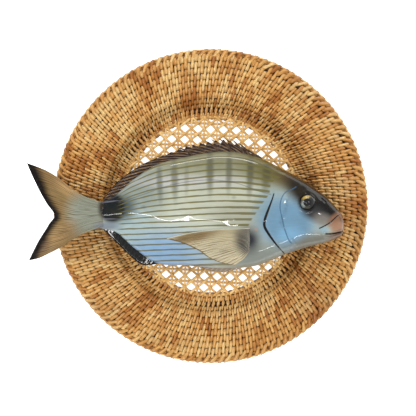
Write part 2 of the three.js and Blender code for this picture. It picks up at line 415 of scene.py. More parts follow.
def sprayed_spot() -> bpy.types.NodeTree:
    """A soft-edged oval of sprayed paint, seen from above, as a mask."""
    start = {
        "Vector": (0.0, 0.0, 0.0),
        "Centre": (0.0, 0.0, 0.0),
        "Reach": (10.0, 10.0, 1.0),
        "Turn": 0.0,
        "Softness": 1.0,
    }
    wires, given, out = new_group("sprayed_spot", start, ["Mask"])
    gap = wires.vectors("SUBTRACT", given["Vector"], given["Centre"])
    flat = wires.vectors("MULTIPLY", gap, (1.0, 1.0, 0.0))
    turned = wires.add("VectorRotate", rotation_type="Z_AXIS")
    wires.give(turned, Vector=flat, Angle=wires.times(given["Turn"], -1.0))
    shares = wires.vectors("DIVIDE", turned.outputs[0], given["Reach"])
    outer = wires.scaled(given["Softness"], 0.35, 1.0)
    inner = wires.scaled(given["Softness"], -0.7, 1.0)
    mask = wires.ease(wires.vectors("LENGTH", shares), outer, inner)
    wires.feed(out["Mask"], mask)
    return wires.tree


def split_fibres() -> bpy.types.NodeTree:
    """Long streaks along a split strand, and the fine lines between its fibres."""
    start = {"Vector": (0.0, 0.0, 0.0), "Seed": 0.0, "Along": 2.0, "Across": 12.0}
    wires, given, out = new_group("split_fibres", start, ["Streak", "Line"])
    stretch = wires.add("CombineXYZ")
    wires.feed(stretch.inputs[0], given["Along"])
    wires.feed(stretch.inputs[1], given["Across"])
    scaled = wires.vectors("MULTIPLY", given["Vector"], stretch.outputs[0])
    shift = wires.add("CombineXYZ")
    wires.feed(shift.inputs[2], wires.times(given["Seed"], 91.7))
    moved = wires.vectors("ADD", scaled, shift.outputs[0])
    wires.feed(out["Streak"], wires.cloud(moved, 1.0, 2.0))
    fine = wires.cloud(wires.vectors("MULTIPLY", moved, (0.7, 3.0, 1.0)), 1.0, 3.0)
    wires.feed(out["Line"], wires.ease(fine, 0.38, 0.62))
    return wires.tree


def poured_glaze() -> bpy.types.NodeTree:
    """The slow waves, brush drag and pinholes of a poured glaze."""
    start = {"Vector": (0.0, 0.0, 0.0), "Wave": 0.03}
    wires, given, out = new_group("poured_glaze", start, ["Wave", "Drag", "Pinhole"])
    wires.feed(out["Wave"], wires.cloud(given["Vector"], given["Wave"], 1.0))
    drawn = wires.vectors("MULTIPLY", given["Vector"], (0.05, 0.55, 0.55))
    wires.feed(out["Drag"], wires.cloud(drawn, 1.0, 4.0))
    cells = wires.give(wires.add("TexVoronoi", feature="F1"), Vector=given["Vector"], Scale=0.16)
    wires.feed(out["Pinhole"], wires.ease(cells.outputs["Distance"], 0.06, 0.025))
    return wires.tree


def settled_dust() -> bpy.types.NodeTree:
    """Patches of wear and settled dust, from 0 to 1."""
    start = {"Vector": (0.0, 0.0, 0.0), "Size": 0.05}
    wires, given, out = new_group("settled_dust", start, ["Mask"])
    patches = wires.cloud(given["Vector"], given["Size"], 6.0)
    wires.feed(out["Mask"], wires.ease(patches, 0.45, 0.72))
    return wires.tree


@dataclass
class Workshop:
    """What every finish shares: the plate's axis in metres and the node groups."""

    axis: Vector
    spot: bpy.types.NodeTree = field(default_factory=sprayed_spot)
    fibres: bpy.types.NodeTree = field(default_factory=split_fibres)
    glaze: bpy.types.NodeTree = field(default_factory=poured_glaze)
    dust: bpy.types.NodeTree = field(default_factory=settled_dust)
    made: bpy.types.Material | None = None

    def start(self, name: str, **fixed: float) -> tuple[Wiring, bpy.types.Node, Socket]:
        """Starts a finish.

        Args:
            name: what the finish is called.
            fixed: values that are the same all over it, underscores standing for spaces.

        Returns:
            Its wiring, its shader and the place on the object in millimetres.
        """
        self.made = bpy.data.materials.new(name)
        self.made.use_nodes = True
        wires = Wiring(self.made.node_tree)
        shader = self.made.node_tree.nodes["Principled BSDF"]
        wires.give(shader, **fixed)
        return wires, shader, wires.place_mm(self.axis)

    def spray(self, wires: Wiring, place: Socket, under: Socket, spray: "Spray") -> Socket:
        """Lays one sprayed spot over a colour."""
        mask = wires.use(
            self.spot,
            Vector=place,
            Centre=(spray.centre[0], spray.centre[1], 0.0),
            Reach=(spray.reach[0], spray.reach[1], 1.0),
            Turn=math.radians(spray.turn),
            Softness=spray.softness,
        ).outputs["Mask"]
        amount = wires.times(mask, spray.strength)
        return wires.cover(under, spray.colour, amount)


@dataclass(frozen=True)
class Spray:
    """One soft spot of paint: millimetres, and degrees for the turn."""

    centre: Point
    reach: Point
    colour: Colour
    strength: float = 0.8
    turn: float = 0.0
    softness: float = 1.0


@dataclass(frozen=True)
class RattanFinish:
    """Split rattan, varnished: honey strands, with painted shade where they dive between rows and along
    their sides.
    """

    name: str
    light: Colour = paint(255, 214, 142)
    middle: Colour = paint(236, 176, 98)
    brown: Colour = paint(180, 112, 48)
    shadow: Colour = paint(58, 30, 8)
    rust: Colour = paint(150, 88, 48)
    rust_spots: tuple[Spray, ...] = (
        Spray((-155, 8), (9, 26), paint(128, 68, 44), 0.4, 4),
        Spray((-122, -118), (30, 22), paint(150, 88, 44), 0.3, 40),
        Spray((118, -104), (34, 26), paint(150, 88, 42), 0.35, -30),
        Spray((150, 0), (18, 46), paint(160, 96, 44), 0.25, 0),
    )

    def build(self, shop: Workshop) -> bpy.types.Material:
        """Mixes the material from the strands' own tone, and darkens it with painted shade."""
        wires, shader, place = shop.start(
            self.name, Coat_Roughness=0.12, IOR=1.5, Specular_IOR_Level=0.4
        )
        tone, depth = wires.channel("tone"), wires.channel("depth")
        fibres = wires.use(
            shop.fibres, Vector=wires.add("UVMap").outputs[0], Seed=tone, Along=3.0, Across=9.0
        ).outputs
        patches = wires.cloud(place, 0.045, 4.0)
        shade = wires.plus(tone, wires.minus(patches, 0.5))
        colour = wires.cover(self.brown, self.middle, wires.ease(shade, 0.0, 0.45))
        colour = wires.cover(colour, self.light, wires.ease(shade, 0.35, 1.0))
        for spot in self.rust_spots:
            colour = shop.spray(wires, place, colour, spot)
        streak = wires.times(wires.ease(fibres["Streak"], 0.62, 0.3), 0.45)
        colour = wires.cover(colour, self.brown, streak)
        dust = wires.use(shop.dust, Vector=place, Size=0.06).outputs["Mask"]
        colour = wires.cover(colour, self.rust, wires.times(dust, 0.22))
        # Painted shade: the shadow colour darkens the strands where they dive between rows and along their
        # sides.
        colour = wires.cover(colour, self.shadow, wires.ease(depth, 0.2, 1.1))
        wires.give(
            shader,
            Base_Color=colour,
            Roughness=wires.scaled(fibres["Streak"], 0.25, 0.3),
            Coat_Weight=wires.scaled(dust, -0.3, 0.8),
            Normal=wires.bump(fibres["Line"], 0.35, 0.0002),
        )
        return shop.made


@dataclass(frozen=True)
class CoreFinish:
    """The round rattan core under the lashing: dark brown in random patches, with painted shade on its
    lower side between its turns.
    """

    name: str
    open: Colour = paint(92, 52, 20)
    deep: Colour = paint(22, 10, 4)

    def build(self, shop: Workshop) -> bpy.types.Material:
        """Mixes the material from random patches and the core's painted shade."""
        wires, shader, place = shop.start(self.name, Coat_Roughness=0.3, IOR=1.5)
        fibres = wires.use(
            shop.fibres, Vector=wires.add("UVMap").outputs[0], Along=60.0, Across=14.0
        ).outputs
        worn = wires.cover(self.open, self.deep, wires.ease(wires.cloud(place, 0.4), 0.35, 0.7))
        # Painted shade: the deep colour on the core's lower side, between its turns.
        colour = wires.cover(worn, self.deep, wires.ease(wires.channel("depth"), 0.0, 0.7))
        wires.give(
            shader,
            Base_Color=colour,
            Roughness=wires.scaled(fibres["Streak"], 0.3, 0.5),
            Normal=wires.bump(fibres["Line"], 0.4, 0.0003),
        )
        return shop.made


@dataclass(frozen=True)
class CaneFinish:
    """Skin cane: a smooth pale strand with a faint shine, darker streaks, and painted shade along its
    edges, underside and where it passes under others.
    """

    name: str
    light: Colour = paint(248, 206, 136)
    middle: Colour = paint(226, 174, 98)
    edge: Colour = paint(146, 98, 50)

    def build(self, shop: Workshop) -> bpy.types.Material:
        """Mixes the material from the strand's own tone, and darkens it with painted shade."""
        wires, shader, place = shop.start(self.name, Coat_Roughness=0.15, IOR=1.5)
        tone, depth = wires.channel("tone"), wires.channel("depth")
        fibres = wires.use(
            shop.fibres, Vector=wires.add("UVMap").outputs[0], Seed=tone, Along=40.0, Across=8.0
        ).outputs
        patches = wires.cloud(place, 0.08, 4.0)
        shade = wires.plus(tone, wires.minus(patches, 0.5))
        colour = wires.cover(self.middle, self.light, wires.ease(shade, 0.1, 0.9))
        streak = wires.times(wires.ease(fibres["Streak"], 0.6, 0.3), 0.35)
        colour = wires.cover(colour, self.edge, streak)
        # Painted shade: the edge colour darkens the strand at its sides and underside and where it dips
        # under others.
        colour = wires.cover(colour, self.edge, wires.ease(depth, 0.1, 1.0))
        wires.give(
            shader,
            Base_Color=colour,
            Roughness=wires.scaled(fibres["Streak"], 0.25, 0.35),
            Coat_Weight=wires.scaled(patches, 0.5, 0.2),
            Normal=wires.bump(fibres["Line"], 0.3, 0.0002),
        )
        return shop.made


@dataclass
class PlateProfile:
    """The line through the middles of the rows, in a cut through the plate."""

    start: float = 96.2
    well_edge: float = 104.6
    bend_foot: float = 111.0
    bend_top: Point = (111.5, 9.4)
    brim_start: Point = (118.0, 9.8)
    brim_end: Point = (159.6, 12.2)
    well_height: float = 2.6
    bend_steps: int = 40
    slope_reach: float = 1.2
    marks: list[Vector] = field(init=False)
    runs: list[float] = field(init=False)

    def __post_init__(self) -> None:
        """Draws the line once and measures it."""
        a, b, c, d = (
            Vector(p)
            for p in (
                (self.well_edge, self.well_height),
                (self.bend_foot, self.well_height),
                self.bend_top,
                self.brim_start,
            )
        )
        self.marks = [Vector((self.start, self.well_height))]
        for i in range(self.bend_steps + 1):
            t = i / self.bend_steps
            s = 1 - t
            self.marks.append(s**3 * a + 3 * s * s * t * b + 3 * s * t * t * c + t**3 * d)
        self.marks.append(Vector(self.brim_end))
        self.runs = [0.0]
        for near, far in zip(self.marks, self.marks[1:]):
            self.runs.append(self.runs[-1] + (far - near).length)

    @property
    def length(self) -> float:
        """The length of the line from the hoop to the rim."""
        return self.runs[-1]

    def at(self, distance: float) -> Vector:
        """Radius and height at a distance along the line, which runs on straight past its ends."""
        i = min(max(bisect_right(self.runs, distance) - 1, 0), len(self.marks) - 2)
        share = (distance - self.runs[i]) / (self.runs[i + 1] - self.runs[i])
        return self.marks[i] + share * (self.marks[i + 1] - self.marks[i])

    def slope(self, distance: float) -> Vector:
        """The line's direction at a distance along it."""
        return (self.at(distance + self.slope_reach) - self.at(distance - self.slope_reach)).normalized()


@dataclass
class Spiral:
    """The one long core of the plate and where each lashing crosses it."""

    profile: PlateProfile = field(default_factory=PlateProfile)
    well_row: float = 5.2
    well_turns: float = 2.0
    full_turns: float = 10.5
    end: float = 11.5
    start_degrees: float = 252.0
    hoop_width: float = 4.9
    rim_width: float = 5.3
    least_hold: float = 4.0
    least_own: float = 0.8
    well_lashings: float = 121.33
    brim_lashings: float = 129.34

    def edge(self, turns: float) -> float:
        """How far along the profile the core's outer side lies after so many turns."""
        limit = self.profile.length
        brim_row = (limit - self.well_turns * self.well_row) / (self.full_turns - self.well_turns)
        wider = (brim_row - self.well_row) * max(0.0, turns - self.well_turns)
        return min(max(self.well_row * turns + wider, 0.0), limit)

    def angle(self, turns: float) -> float:
        """The direction from the plate's axis after so many turns."""
        return math.radians(self.start_degrees) - FULL_TURN * turns

    def span(self, turns: float) -> tuple[float, float, float]:
        """Inner end, middle crossing and outer end of the lashing after so many turns."""
        border = self.edge(turns - 1)
        inner = self.edge(turns - 2) if turns >= 1 else -self.hoop_width
        outer = self.edge(turns)
        if turns > self.end:
            outer = self.profile.length + self.rim_width
        return min(inner, border - self.least_hold), border, max(outer, border + self.least_own)

    def lashing_turns(self, first: float, last: float) -> Iterable[float]:
        """Where each lashing of a length of the coil stands, in turns."""
        turns = 0.0
        while turns < last:
            if turns >= first:
                yield turns
            turns += 1 / (self.well_lashings if turns < self.well_turns else self.brim_lashings)


@dataclass
class CoilWeave:
    """Lengths of the coil: the core, and a flat lashing round each row and the one inside it."""

    shop: Workshop
    spiral: Spiral = field(default_factory=Spiral)
    core_half_width_share: float = 0.52
    core_half_height: float = 2.0
    lashing_rise: float = 2.3
    lashing_thickness: float = 0.85
    own_share: float = 0.47
    hold_share: float = 0.58
    slant: float = 0.17
    leaf_taper: float = 0.9
    neck_share: float = 0.9
    width_spread: float = 0.07
    shift_spread: float = 0.03
    lean_spread: float = 0.2
    lift_spread: float = 0.05
    tone_spread: float = 0.22
    tone_patch: float = 24.0
    # How much painted shade darkens the sides of a lashing or strand.
    painted_edge_shade: float = 0.42
    seed: int = 7
    path: tuple[Point, ...] = (
        (2.03, 0.15), (1.88, 0.78), (1.5, 1.1), (1.15, 0.98), (0.92, 0.92), (0.5, 1.0), (0.13, 0.72),
        (-0.01, 0.1), (0.1, -0.72), (0.5, -0.95), (1.0, -0.86), (1.5, -0.95), (1.88, -0.78), (2.02, -0.35),
    )
    section: tuple[Point, ...] = ((-0.5, -0.35), (-0.26, 0.6), (0.26, 0.6), (0.5, -0.35))
    core_sides: int = 8
    core_steps_per_turn: int = 90

    def core(self, bench: Bench, first: float, last: float) -> None:
        """Lays a length of the core.

        Args:
            bench: where it is laid.
            first: turns at its start.
            last: turns at its end.
        """
        spiral = self.spiral

        def place(u: float, v: float) -> Vector:
            turns = mixed(first, last, u)
            inner, outer = spiral.edge(turns - 1), spiral.edge(turns)
            half = max((outer - inner) * self.core_half_width_share, 0.1)
            rise = min(self.core_half_height, 2 * half)
            round_angle = v * FULL_TURN
            return self.spot(
                turns,
                (inner + outer) / 2 + half * math.cos(round_angle),
                rise * math.sin(round_angle),
            )

        # Painted shade on the lower side of the core, darkest underneath.
        def mark(u: float, v: float) -> dict[str, float]:
            return {"depth": 1 - max(math.sin(v * FULL_TURN), 0.0) ** 1.5, "tone": 0.5}

        steps = max(int((last - first) * self.core_steps_per_turn), 8)
        bench.skin(steps, self.core_sides, place, mark, finish=1)
        bench.close_ends()

    def spot(self, turns: float, distance: float, rise: float, aside: float = 0.0) -> Vector:
        """A place near the plate's profile.

        Args:
            turns: the direction, in turns of the coil.
            distance: how far along the profile.
            rise: how far above the profile.
            aside: how far round the plate from that direction.

        Returns:
            The place.
        """
        at, slope = self.spiral.profile.at(distance), self.spiral.profile.slope(distance)
        radius = at.x - rise * slope.y
        angle = self.spiral.angle(turns) + aside / radius
        height = at.y + rise * slope.x
        return Vector((radius * math.cos(angle), radius * math.sin(angle), height))

    def lashing(self, bench: Bench, turns: float, dice: random.Random) -> None:
        """Wraps one lashing round its own row and the row inside it.

        Args:
            bench: where it is wrapped.
            turns: where it stands on the coil.
            dice: the small differences between lashings.
        """
        inner, border, outer = self.spiral.span(turns)
        count = self.spiral.brim_lashings
        if turns < self.spiral.well_turns:
            count = self.spiral.well_lashings
        pitch = FULL_TURN * self.spiral.profile.at(border).x / count
        swell, shift = dice.gauss(1, self.width_spread), dice.gauss(0, self.shift_spread)
        lean, lift = dice.gauss(1, self.lean_spread), dice.gauss(1, self.lift_spread)
        centre = self.spot(turns, border, 0.0)
        patch = noise.noise(centre / self.tone_patch)
        tone = min(max(0.5 + 0.5 * patch + dice.gauss(0, self.tone_spread), 0.0), 1.0)
        stations: list[tuple[float, float, float, float]] = []
        for t, h in self.path:
            low, high, share = (inner, border, t) if t < 1 else (border, outer, t - 1)
            distance = mixed(low, high, share)
            aside = shift * pitch + self.slant * lean * (border - distance)
            stations.append((distance, h * self.lashing_rise * lift, aside, self.width(t, pitch)))

        def outwards(i: int) -> Vector:
            before, after = stations[i - 1], stations[(i + 1) % len(stations)]
            way = Vector((after[0] - before[0], after[1] - before[1]))
            return Vector((way.y, -way.x)).normalized() * -1

        facing = [outwards(i) for i in range(len(stations))]

        def station_of(u: float) -> int:
            return round(u * len(stations)) % len(stations)

        def corner_of(v: float) -> Point:
            return self.section[round(v * len(self.section)) % len(self.section)]

        def place(u: float, v: float) -> Vector:
            i, (across, up) = station_of(u), corner_of(v)
            distance, rise, aside, width = stations[i]
            out = facing[i] * up * self.lashing_thickness
            return self.spot(
                turns, distance + out.x, rise + out.y, aside + across * width * swell
            )

        # Painted shade: darker where the lashing dives low between rows, and along its two sides.
        def mark(u: float, v: float) -> dict[str, float]:
            h = self.path[station_of(u)][1]
            edge = self.painted_edge_shade if abs(corner_of(v)[0]) > 0.4 else 0.0
            return {"tone": tone, "depth": min(max((0.78 - h) * 1.2, 0.0) + edge, 1.0)}

        bench.skin(len(stations), len(self.section), place, mark)

    def width(self, t: float, pitch: float) -> float:
        """The lashing's width: leaf-shaped on its own row, broader on the row that it holds."""
        if t >= 1:
            return pitch * self.own_share * (1 - self.leaf_taper * abs(t - 1.5) ** 1.5)
        neck = self.own_share * self.neck_share
        return pitch * mixed(neck, self.hold_share, eased(1.0, 0.5, t))

    def build(self, name: str, node: str, first: float, last: float) -> None:
        """Makes one length of the coil with its lashings.

        Args:
            name: the name of the piece.
            node: the CAD node that it stands for.
            first: turns at its start.
            last: turns at its end.
        """
        bench = Bench(name, ("tone", "depth"))
        dice = random.Random(self.seed + int(first * 10))
        self.core(bench, first, last)
        for turns in self.spiral.lashing_turns(first, last):
            self.lashing(bench, turns, dice)
        finishes = [RattanFinish(name).build(self.shop), CoreFinish(name + "_core").build(self.shop)]
        bench.piece(node, Slot.LASHING, finishes, self.shop.axis)


@dataclass
class RimBraid:
    """The border: a ring of core, a smooth edge strand, and slanted lashings over both."""

    weave: CoilWeave
    ring_radius: float = 161.4
    ring_half_width: float = 2.4
    edge_radius: float = 163.9
    edge_thickness: float = 1.05
    height: float = 12.2
    ring_half_height: float = 1.9
    edge_half_height: float = 1.7
    ring_steps: tuple[int, int] = (240, 8)
    stroke_share: float = 0.66
    stroke_rise: float = 2.25
    stroke_slant: float = 0.7
    seed: int = 31

    def ring(self, bench: Bench, radius: float, half: float, rise: float, finish: int) -> None:
        """Lays one closed ring.

        Args:
            bench: where it is laid.
            radius: the radius of its middle.
            half: half of its width.
            rise: half of its height.
            finish: which finish it takes.
        """

        def place(u: float, v: float) -> Vector:
            turn, around = u * FULL_TURN, v * FULL_TURN
            reach = radius + half * math.cos(around)
            height = self.height + rise * math.sin(around)
            return Vector((reach * math.cos(turn), reach * math.sin(turn), height))

        # Painted shade on the lower side of each ring: full on the core ring, lighter on the edge strand.
        def mark(u: float, v: float) -> dict[str, float]:
            up = max(math.sin(v * FULL_TURN), 0.0)
            return {"depth": (1 - up) * (1.0 if finish else 0.35), "tone": 0.75}

        bench.skin(*self.ring_steps, place, mark, finish)

    def build(self) -> None:
        """Makes the border."""
        bench = Bench("rim_braid_border", ("tone", "depth"))
        self.ring(bench, self.ring_radius, self.ring_half_width, self.ring_half_height, 1)
        self.ring(bench, self.edge_radius, self.edge_thickness, self.edge_half_height, 0)
        braid = CoilWeave(
            self.weave.shop,
            own_share=self.stroke_share,
            slant=self.stroke_slant,
            lashing_rise=self.stroke_rise,
        )
        dice = random.Random(self.seed)
        end = self.weave.spiral.end
        for turns in self.weave.spiral.lashing_turns(end, end + 1):
            braid.lashing(bench, turns, dice)
        finishes = [
            RattanFinish("rim_braid").build(self.weave.shop),
            CoreFinish("rim_core", paint(196, 140, 74), paint(92, 54, 20)).build(self.weave.shop),
        ]
        bench.piece("rim_border", Slot.RIM, finishes, self.weave.shop.axis)


@dataclass
class CaneSeat:
    """The open centre: six-way cane webbing pulled over a hoop."""

    shop: Workshop
    pitch: Point = (13.5, 11.9)
    offset: Point = (-3.5, -2.6)
    turn_degrees: float = -2.5
    middle: float = 6.3
    level: float = 0.42
    thickness: float = 0.42
    upright_width: float = 2.1
    cross_width: float = 2.5
    slanted_width: float = 2.7
    fold_start: float = 93.4
    fold_radius: float = 95.6
    fold_height: float = 3.2
    hoop_radius: float = 93.7
    hoop_half_width: float = 2.3
    hoop_height: float = 2.6
    hoop_half_height: float = 2.35
    hoop_steps: tuple[int, int] = (200, 16)
    section: tuple[Point, ...] = (
        (-0.5, -0.1), (-0.28, 0.5), (0.28, 0.5), (0.5, -0.1), (0.28, -0.5), (-0.28, -0.5),
    )
    step_length: float = 2.2
    rows_each_side: int = 17
    shortest_reach: float = 5.0
    swing: float = 0.45
    width_spread: float = 0.06
    # Painted shade where a strand passes under others, and along its sides and underside.
    painted_dip_shade: float = 0.28
    painted_edge_shade: float = 0.32
    seed: int = 19

    def ride_height(self, radius: float, level: float) -> float:
        """Height of a strand: over the opening, then over the hoop and down behind it."""
        over = self.middle + level * self.level
        return mixed(over, self.fold_height, eased(self.fold_start, self.fold_radius, radius))

    def strand(
        self,
        bench: Bench,
        start: Vector,
        end: Vector,
        levels: Callable[[float], float],
        width: float,
        tone: float,
    ) -> None:
        """Weaves one straight strand across the opening.

        Args:
            bench: where it is woven.
            start: one end, on the flat.
            end: the other end.
            levels: how high it rides at a share of its length, from -1 under to 1 over.
            width: its width.
            tone: its own shade.
        """
        run = end - start
        side = Vector((-run.y, run.x)).normalized()
        section = self.section
        steps = max(int(run.length / self.step_length), 4)

        def place(u: float, v: float) -> Vector:
            across, up = section[round(v * len(section)) % len(section)]
            at = start + run * u
            height = self.ride_height(at.length, levels(u)) + up * self.thickness
            flat = at + side * across * width
            return Vector((flat.x, flat.y, height))

        # Painted shade where the strand dips under others, and along its sides and underside.
        def mark(u: float, v: float) -> dict[str, float]:
            across, up = section[round(v * len(section)) % len(section)]
            dip = self.painted_dip_shade * max(-levels(u), 0.0)
            edge = self.painted_edge_shade if abs(across) > 0.4 or up < 0 else 0.0
            return {"tone": tone, "depth": dip + edge}

        bench.skin(steps, len(section), place, mark)
        bench.close_ends()

    def family(
        self, bench: Bench, way: Point, width: float, rule: Callable[[float, float], float]
    ) -> None:
        """Weaves every parallel strand of one direction.

        Args:
            bench: where they are woven.
            way: the lattice step that the strands follow.
            width: the width of each.
            rule: the level at a lattice place.
        """
        turn = Matrix.Rotation(math.radians(self.turn_degrees), 2)
        pitch_x, pitch_y = self.pitch
        dice = random.Random(self.seed + int(way[0] * 7 + way[1] * 3))
        step = turn @ Vector((way[0] * pitch_x, way[1] * pitch_y))
        along = step.normalized()
        for row in range(-self.rows_each_side, self.rows_each_side + 1):
            if way[0] and way[1]:
                base = (row + 0.5, 0.0)
            else:
                base = ((row + 0.5) * way[1], (row + 0.5) * way[0])
            through = turn @ Vector(
                (base[0] * pitch_x + self.offset[0], base[1] * pitch_y + self.offset[1])
            )
            middle = -through.dot(along)
            clear = (through + along * middle).length
            if clear > self.fold_radius - self.shortest_reach:
                continue
            half = math.sqrt(self.fold_radius**2 - clear**2)
            start, end = through + along * (middle - half), through + along * (middle + half)

            def levels(u: float) -> float:
                share = (middle - half + 2 * half * u) / step.length
                return rule(base[0] + share * way[0], base[1] + share * way[1])

            own_width = width * dice.gauss(1, self.width_spread)
            self.strand(bench, start, end, levels, own_width, dice.random())

    def webbing(self) -> None:
        """Weaves the webbing: uprights over crosses, two slanted families over and under them."""
        bench = Bench("cane_webbing_strands", ("tone", "depth"))

        def wave(value: float) -> float:
            return math.cos(FULL_TURN * value)

        swing = self.swing
        self.family(bench, (0.0, 1.0), self.upright_width, lambda i, j: swing - swing * wave(j))
        self.family(bench, (1.0, 0.0), self.cross_width, lambda i, j: -swing + swing * wave(i))
        self.family(bench, (1.0, -1.0), self.slanted_width, lambda i, j: -wave(i))
        self.family(bench, (1.0, 1.0), self.slanted_width, lambda i, j: wave(i))
        bench.piece(
            "cane_webbing", Slot.CANE, [CaneFinish("skin_cane").build(self.shop)], self.shop.axis
        )

    def hoop(self) -> None:
        """Bends the hoop that the webbing is pulled over."""
        bench = Bench("cane_hoop_ring", ("tone", "depth"))

        def place(u: float, v: float) -> Vector:
            turn, around = u * FULL_TURN, v * FULL_TURN
            reach = self.hoop_radius + self.hoop_half_width * math.cos(around)
            height = self.hoop_height + self.hoop_half_height * math.sin(around)
            return Vector((reach * math.cos(turn), reach * math.sin(turn), height))

        # A slight even painted shade all round the hoop.
        bench.skin(*self.hoop_steps, place, lambda u, v: {"tone": 0.45, "depth": 0.2})
        bench.piece(
            "cane_hoop", Slot.CANE, [CaneFinish("hoop_cane").build(self.shop)], self.shop.axis
        )


TAIL_ROOT = (
    Spray((-130, -8), (22, 26), paint(140, 146, 130), 1.0, 0, 0.8),
    Spray((-103, -2), (15, 17), paint(8, 15, 16), 1.0, 0, 0.4),
    Spray((-108, -21), (16, 5), paint(112, 122, 136), 0.8),
)


@dataclass(frozen=True)
class FlankPaint:
    """The painted and glazed flank: sprayed ground, brushed lines and bars, drawn creases."""

    name: str = "painted_flank"
    ground: Colour = paint(186, 190, 172)
    line_colour: Colour = paint(98, 92, 44)
    bar_colour: Colour = paint(74, 78, 68)
    gill_colour: Colour = paint(12, 12, 14)
    cheek_colour: Colour = paint(58, 92, 120)
    mouth_colour: Colour = paint(40, 24, 18)
    bars: tuple[Spray, ...] = (
        Spray((-53, 25), (3.6, 23), paint(78, 84, 80), 0.6, 3),
        Spray((-37.5, 29), (4.2, 25), paint(76, 80, 74), 0.62, 2),
        Spray((-25, 29), (2.8, 20), paint(84, 88, 78), 0.3),
        Spray((-0.7, 37), (4.4, 26), paint(66, 68, 58), 0.68),
        Spray((19, 37), (3.8, 25), paint(66, 68, 56), 0.62, -2),
        Spray((41, 34), (4.2, 27), paint(62, 62, 48), 0.66, -3),
        Spray((58, 33), (5.0, 20), paint(64, 62, 42), 0.6, -6),
    )
    sprays: tuple[Spray, ...] = (
        Spray((5, 62), (150, 42), paint(126, 125, 98), 1.0),
        Spray((-78, 14), (38, 34), paint(118, 130, 126), 0.8),
        # A pale grey band along the upper flank: a painted reflection.
        Spray((-20, 25), (70, 8), paint(186, 184, 184), 0.6),
        Spray((-58, -52), (66, 32), paint(132, 164, 194), 1.0),
        Spray((-84, -20), (28, 24), paint(158, 178, 180), 0.8),
        Spray((10, 4), (50, 18), paint(170, 170, 150), 0.5),
        Spray((30, -12), (32, 15), paint(144, 142, 124), 0.6),
        Spray((64, 38), (40, 22), paint(104, 98, 60), 1.0, -24),
        Spray((58, -2), (16, 24), paint(132, 150, 148), 0.8, -12),
        Spray((80, -18), (36, 36), paint(106, 142, 166), 1.0, 4, 0.8),
        Spray((82, -34), (16, 14), paint(124, 170, 200), 0.8),
        Spray((48, -54), (40, 16), paint(128, 134, 126), 0.95, 12),
        Spray((106, -38), (34, 10), paint(116, 116, 106), 1.0, 14),
        Spray((92, 27), (40, 17), paint(80, 62, 32), 1.0, -34),
        Spray((104, 13), (32, 18), paint(24, 17, 10), 1.0, -36, 0.7),
        Spray((120, -2), (23, 15), paint(14, 9, 6), 1.0, -38, 0.6),
        Spray((107, -7), (15, 9), paint(46, 46, 48), 1.0, -20),
        Spray((117, -15), (12, 8), paint(128, 122, 114), 0.8, -20),
        Spray((131, -13), (12, 6), paint(138, 98, 72), 0.9, 34, 0.8),
        Spray((133, -22), (10, 7), paint(156, 112, 84), 0.9, 10, 0.8),
        Spray((134, -31), (15, 6), paint(104, 76, 56), 0.95, 18, 0.8),
        Spray((138, -13), (4, 8), paint(96, 54, 32), 0.85, 20),
        # A pale blue spot at the mouth corner: a painted highlight.
        Spray((118, -25), (6, 4), paint(130, 168, 188), 0.6),
        Spray((-92, -2), (16, 15), paint(46, 60, 68), 0.9),
        *TAIL_ROOT,
        Spray((-106, 4.5), (12, 0.8), paint(128, 126, 142), 0.55, 7),
        Spray((-108, -13.5), (14, 0.8), paint(120, 118, 130), 0.55),
        Spray((40, -35), (13, 15), paint(40, 42, 50), 1.0, 6, 1.2),
        Spray((47, -24.5), (2.2, 1.4), paint(176, 128, 96), 0.6),
        Spray((-70, -1), (3.2, 2.2), paint(84, 88, 84), 0.35),
        Spray((24, 9), (2.6, 2.0), paint(96, 98, 82), 0.3),
    )

    def lines(self, wires: Wiring, place: Socket) -> Socket:
        """The brushed olive lines that follow the back and swell at their front ends.

        Args:
            wires: the finish's wiring.
            place: the place on the object, in millimetres.

        Returns:
            The mask of the lines.
        """
        wander = wires.scaled(wires.cloud(place, 0.045, 2.0), 0.22, -0.11)
        level = wires.plus(wires.channel("level"), wander)
        gap = wires.maths("ABSOLUTE", wires.minus(wires.maths("FRACT", level), 0.5))
        reach = wires.channel("line_reach")
        swell = wires.times(wires.ease(reach, 45.0, 3.0), 0.09)
        hand = wires.scaled(wires.cloud(place, 0.11, 2.0), 0.1, 0.07)
        half = wires.plus(swell, hand)
        line = wires.ease(gap, wires.plus(half, 0.05), wires.minus(half, 0.03))
        front = wires.ease(reach, 0.0, 2.0)
        rear = wires.ease(wires.channel("line_start"), 0.0, 8.0)
        both = wires.times(front, rear)
        return wires.times(wires.times(line, both), 0.86)

    def drawn(self, wires: Wiring, channel: str, width: object, soft: float) -> Socket:
        """A line drawn where a crease's distance is small."""
        distance = wires.maths("ABSOLUTE", wires.channel(channel))
        line = wires.ease(distance, wires.plus(width, soft), width)
        return wires.times(line, wires.channel(channel + "_beside"))

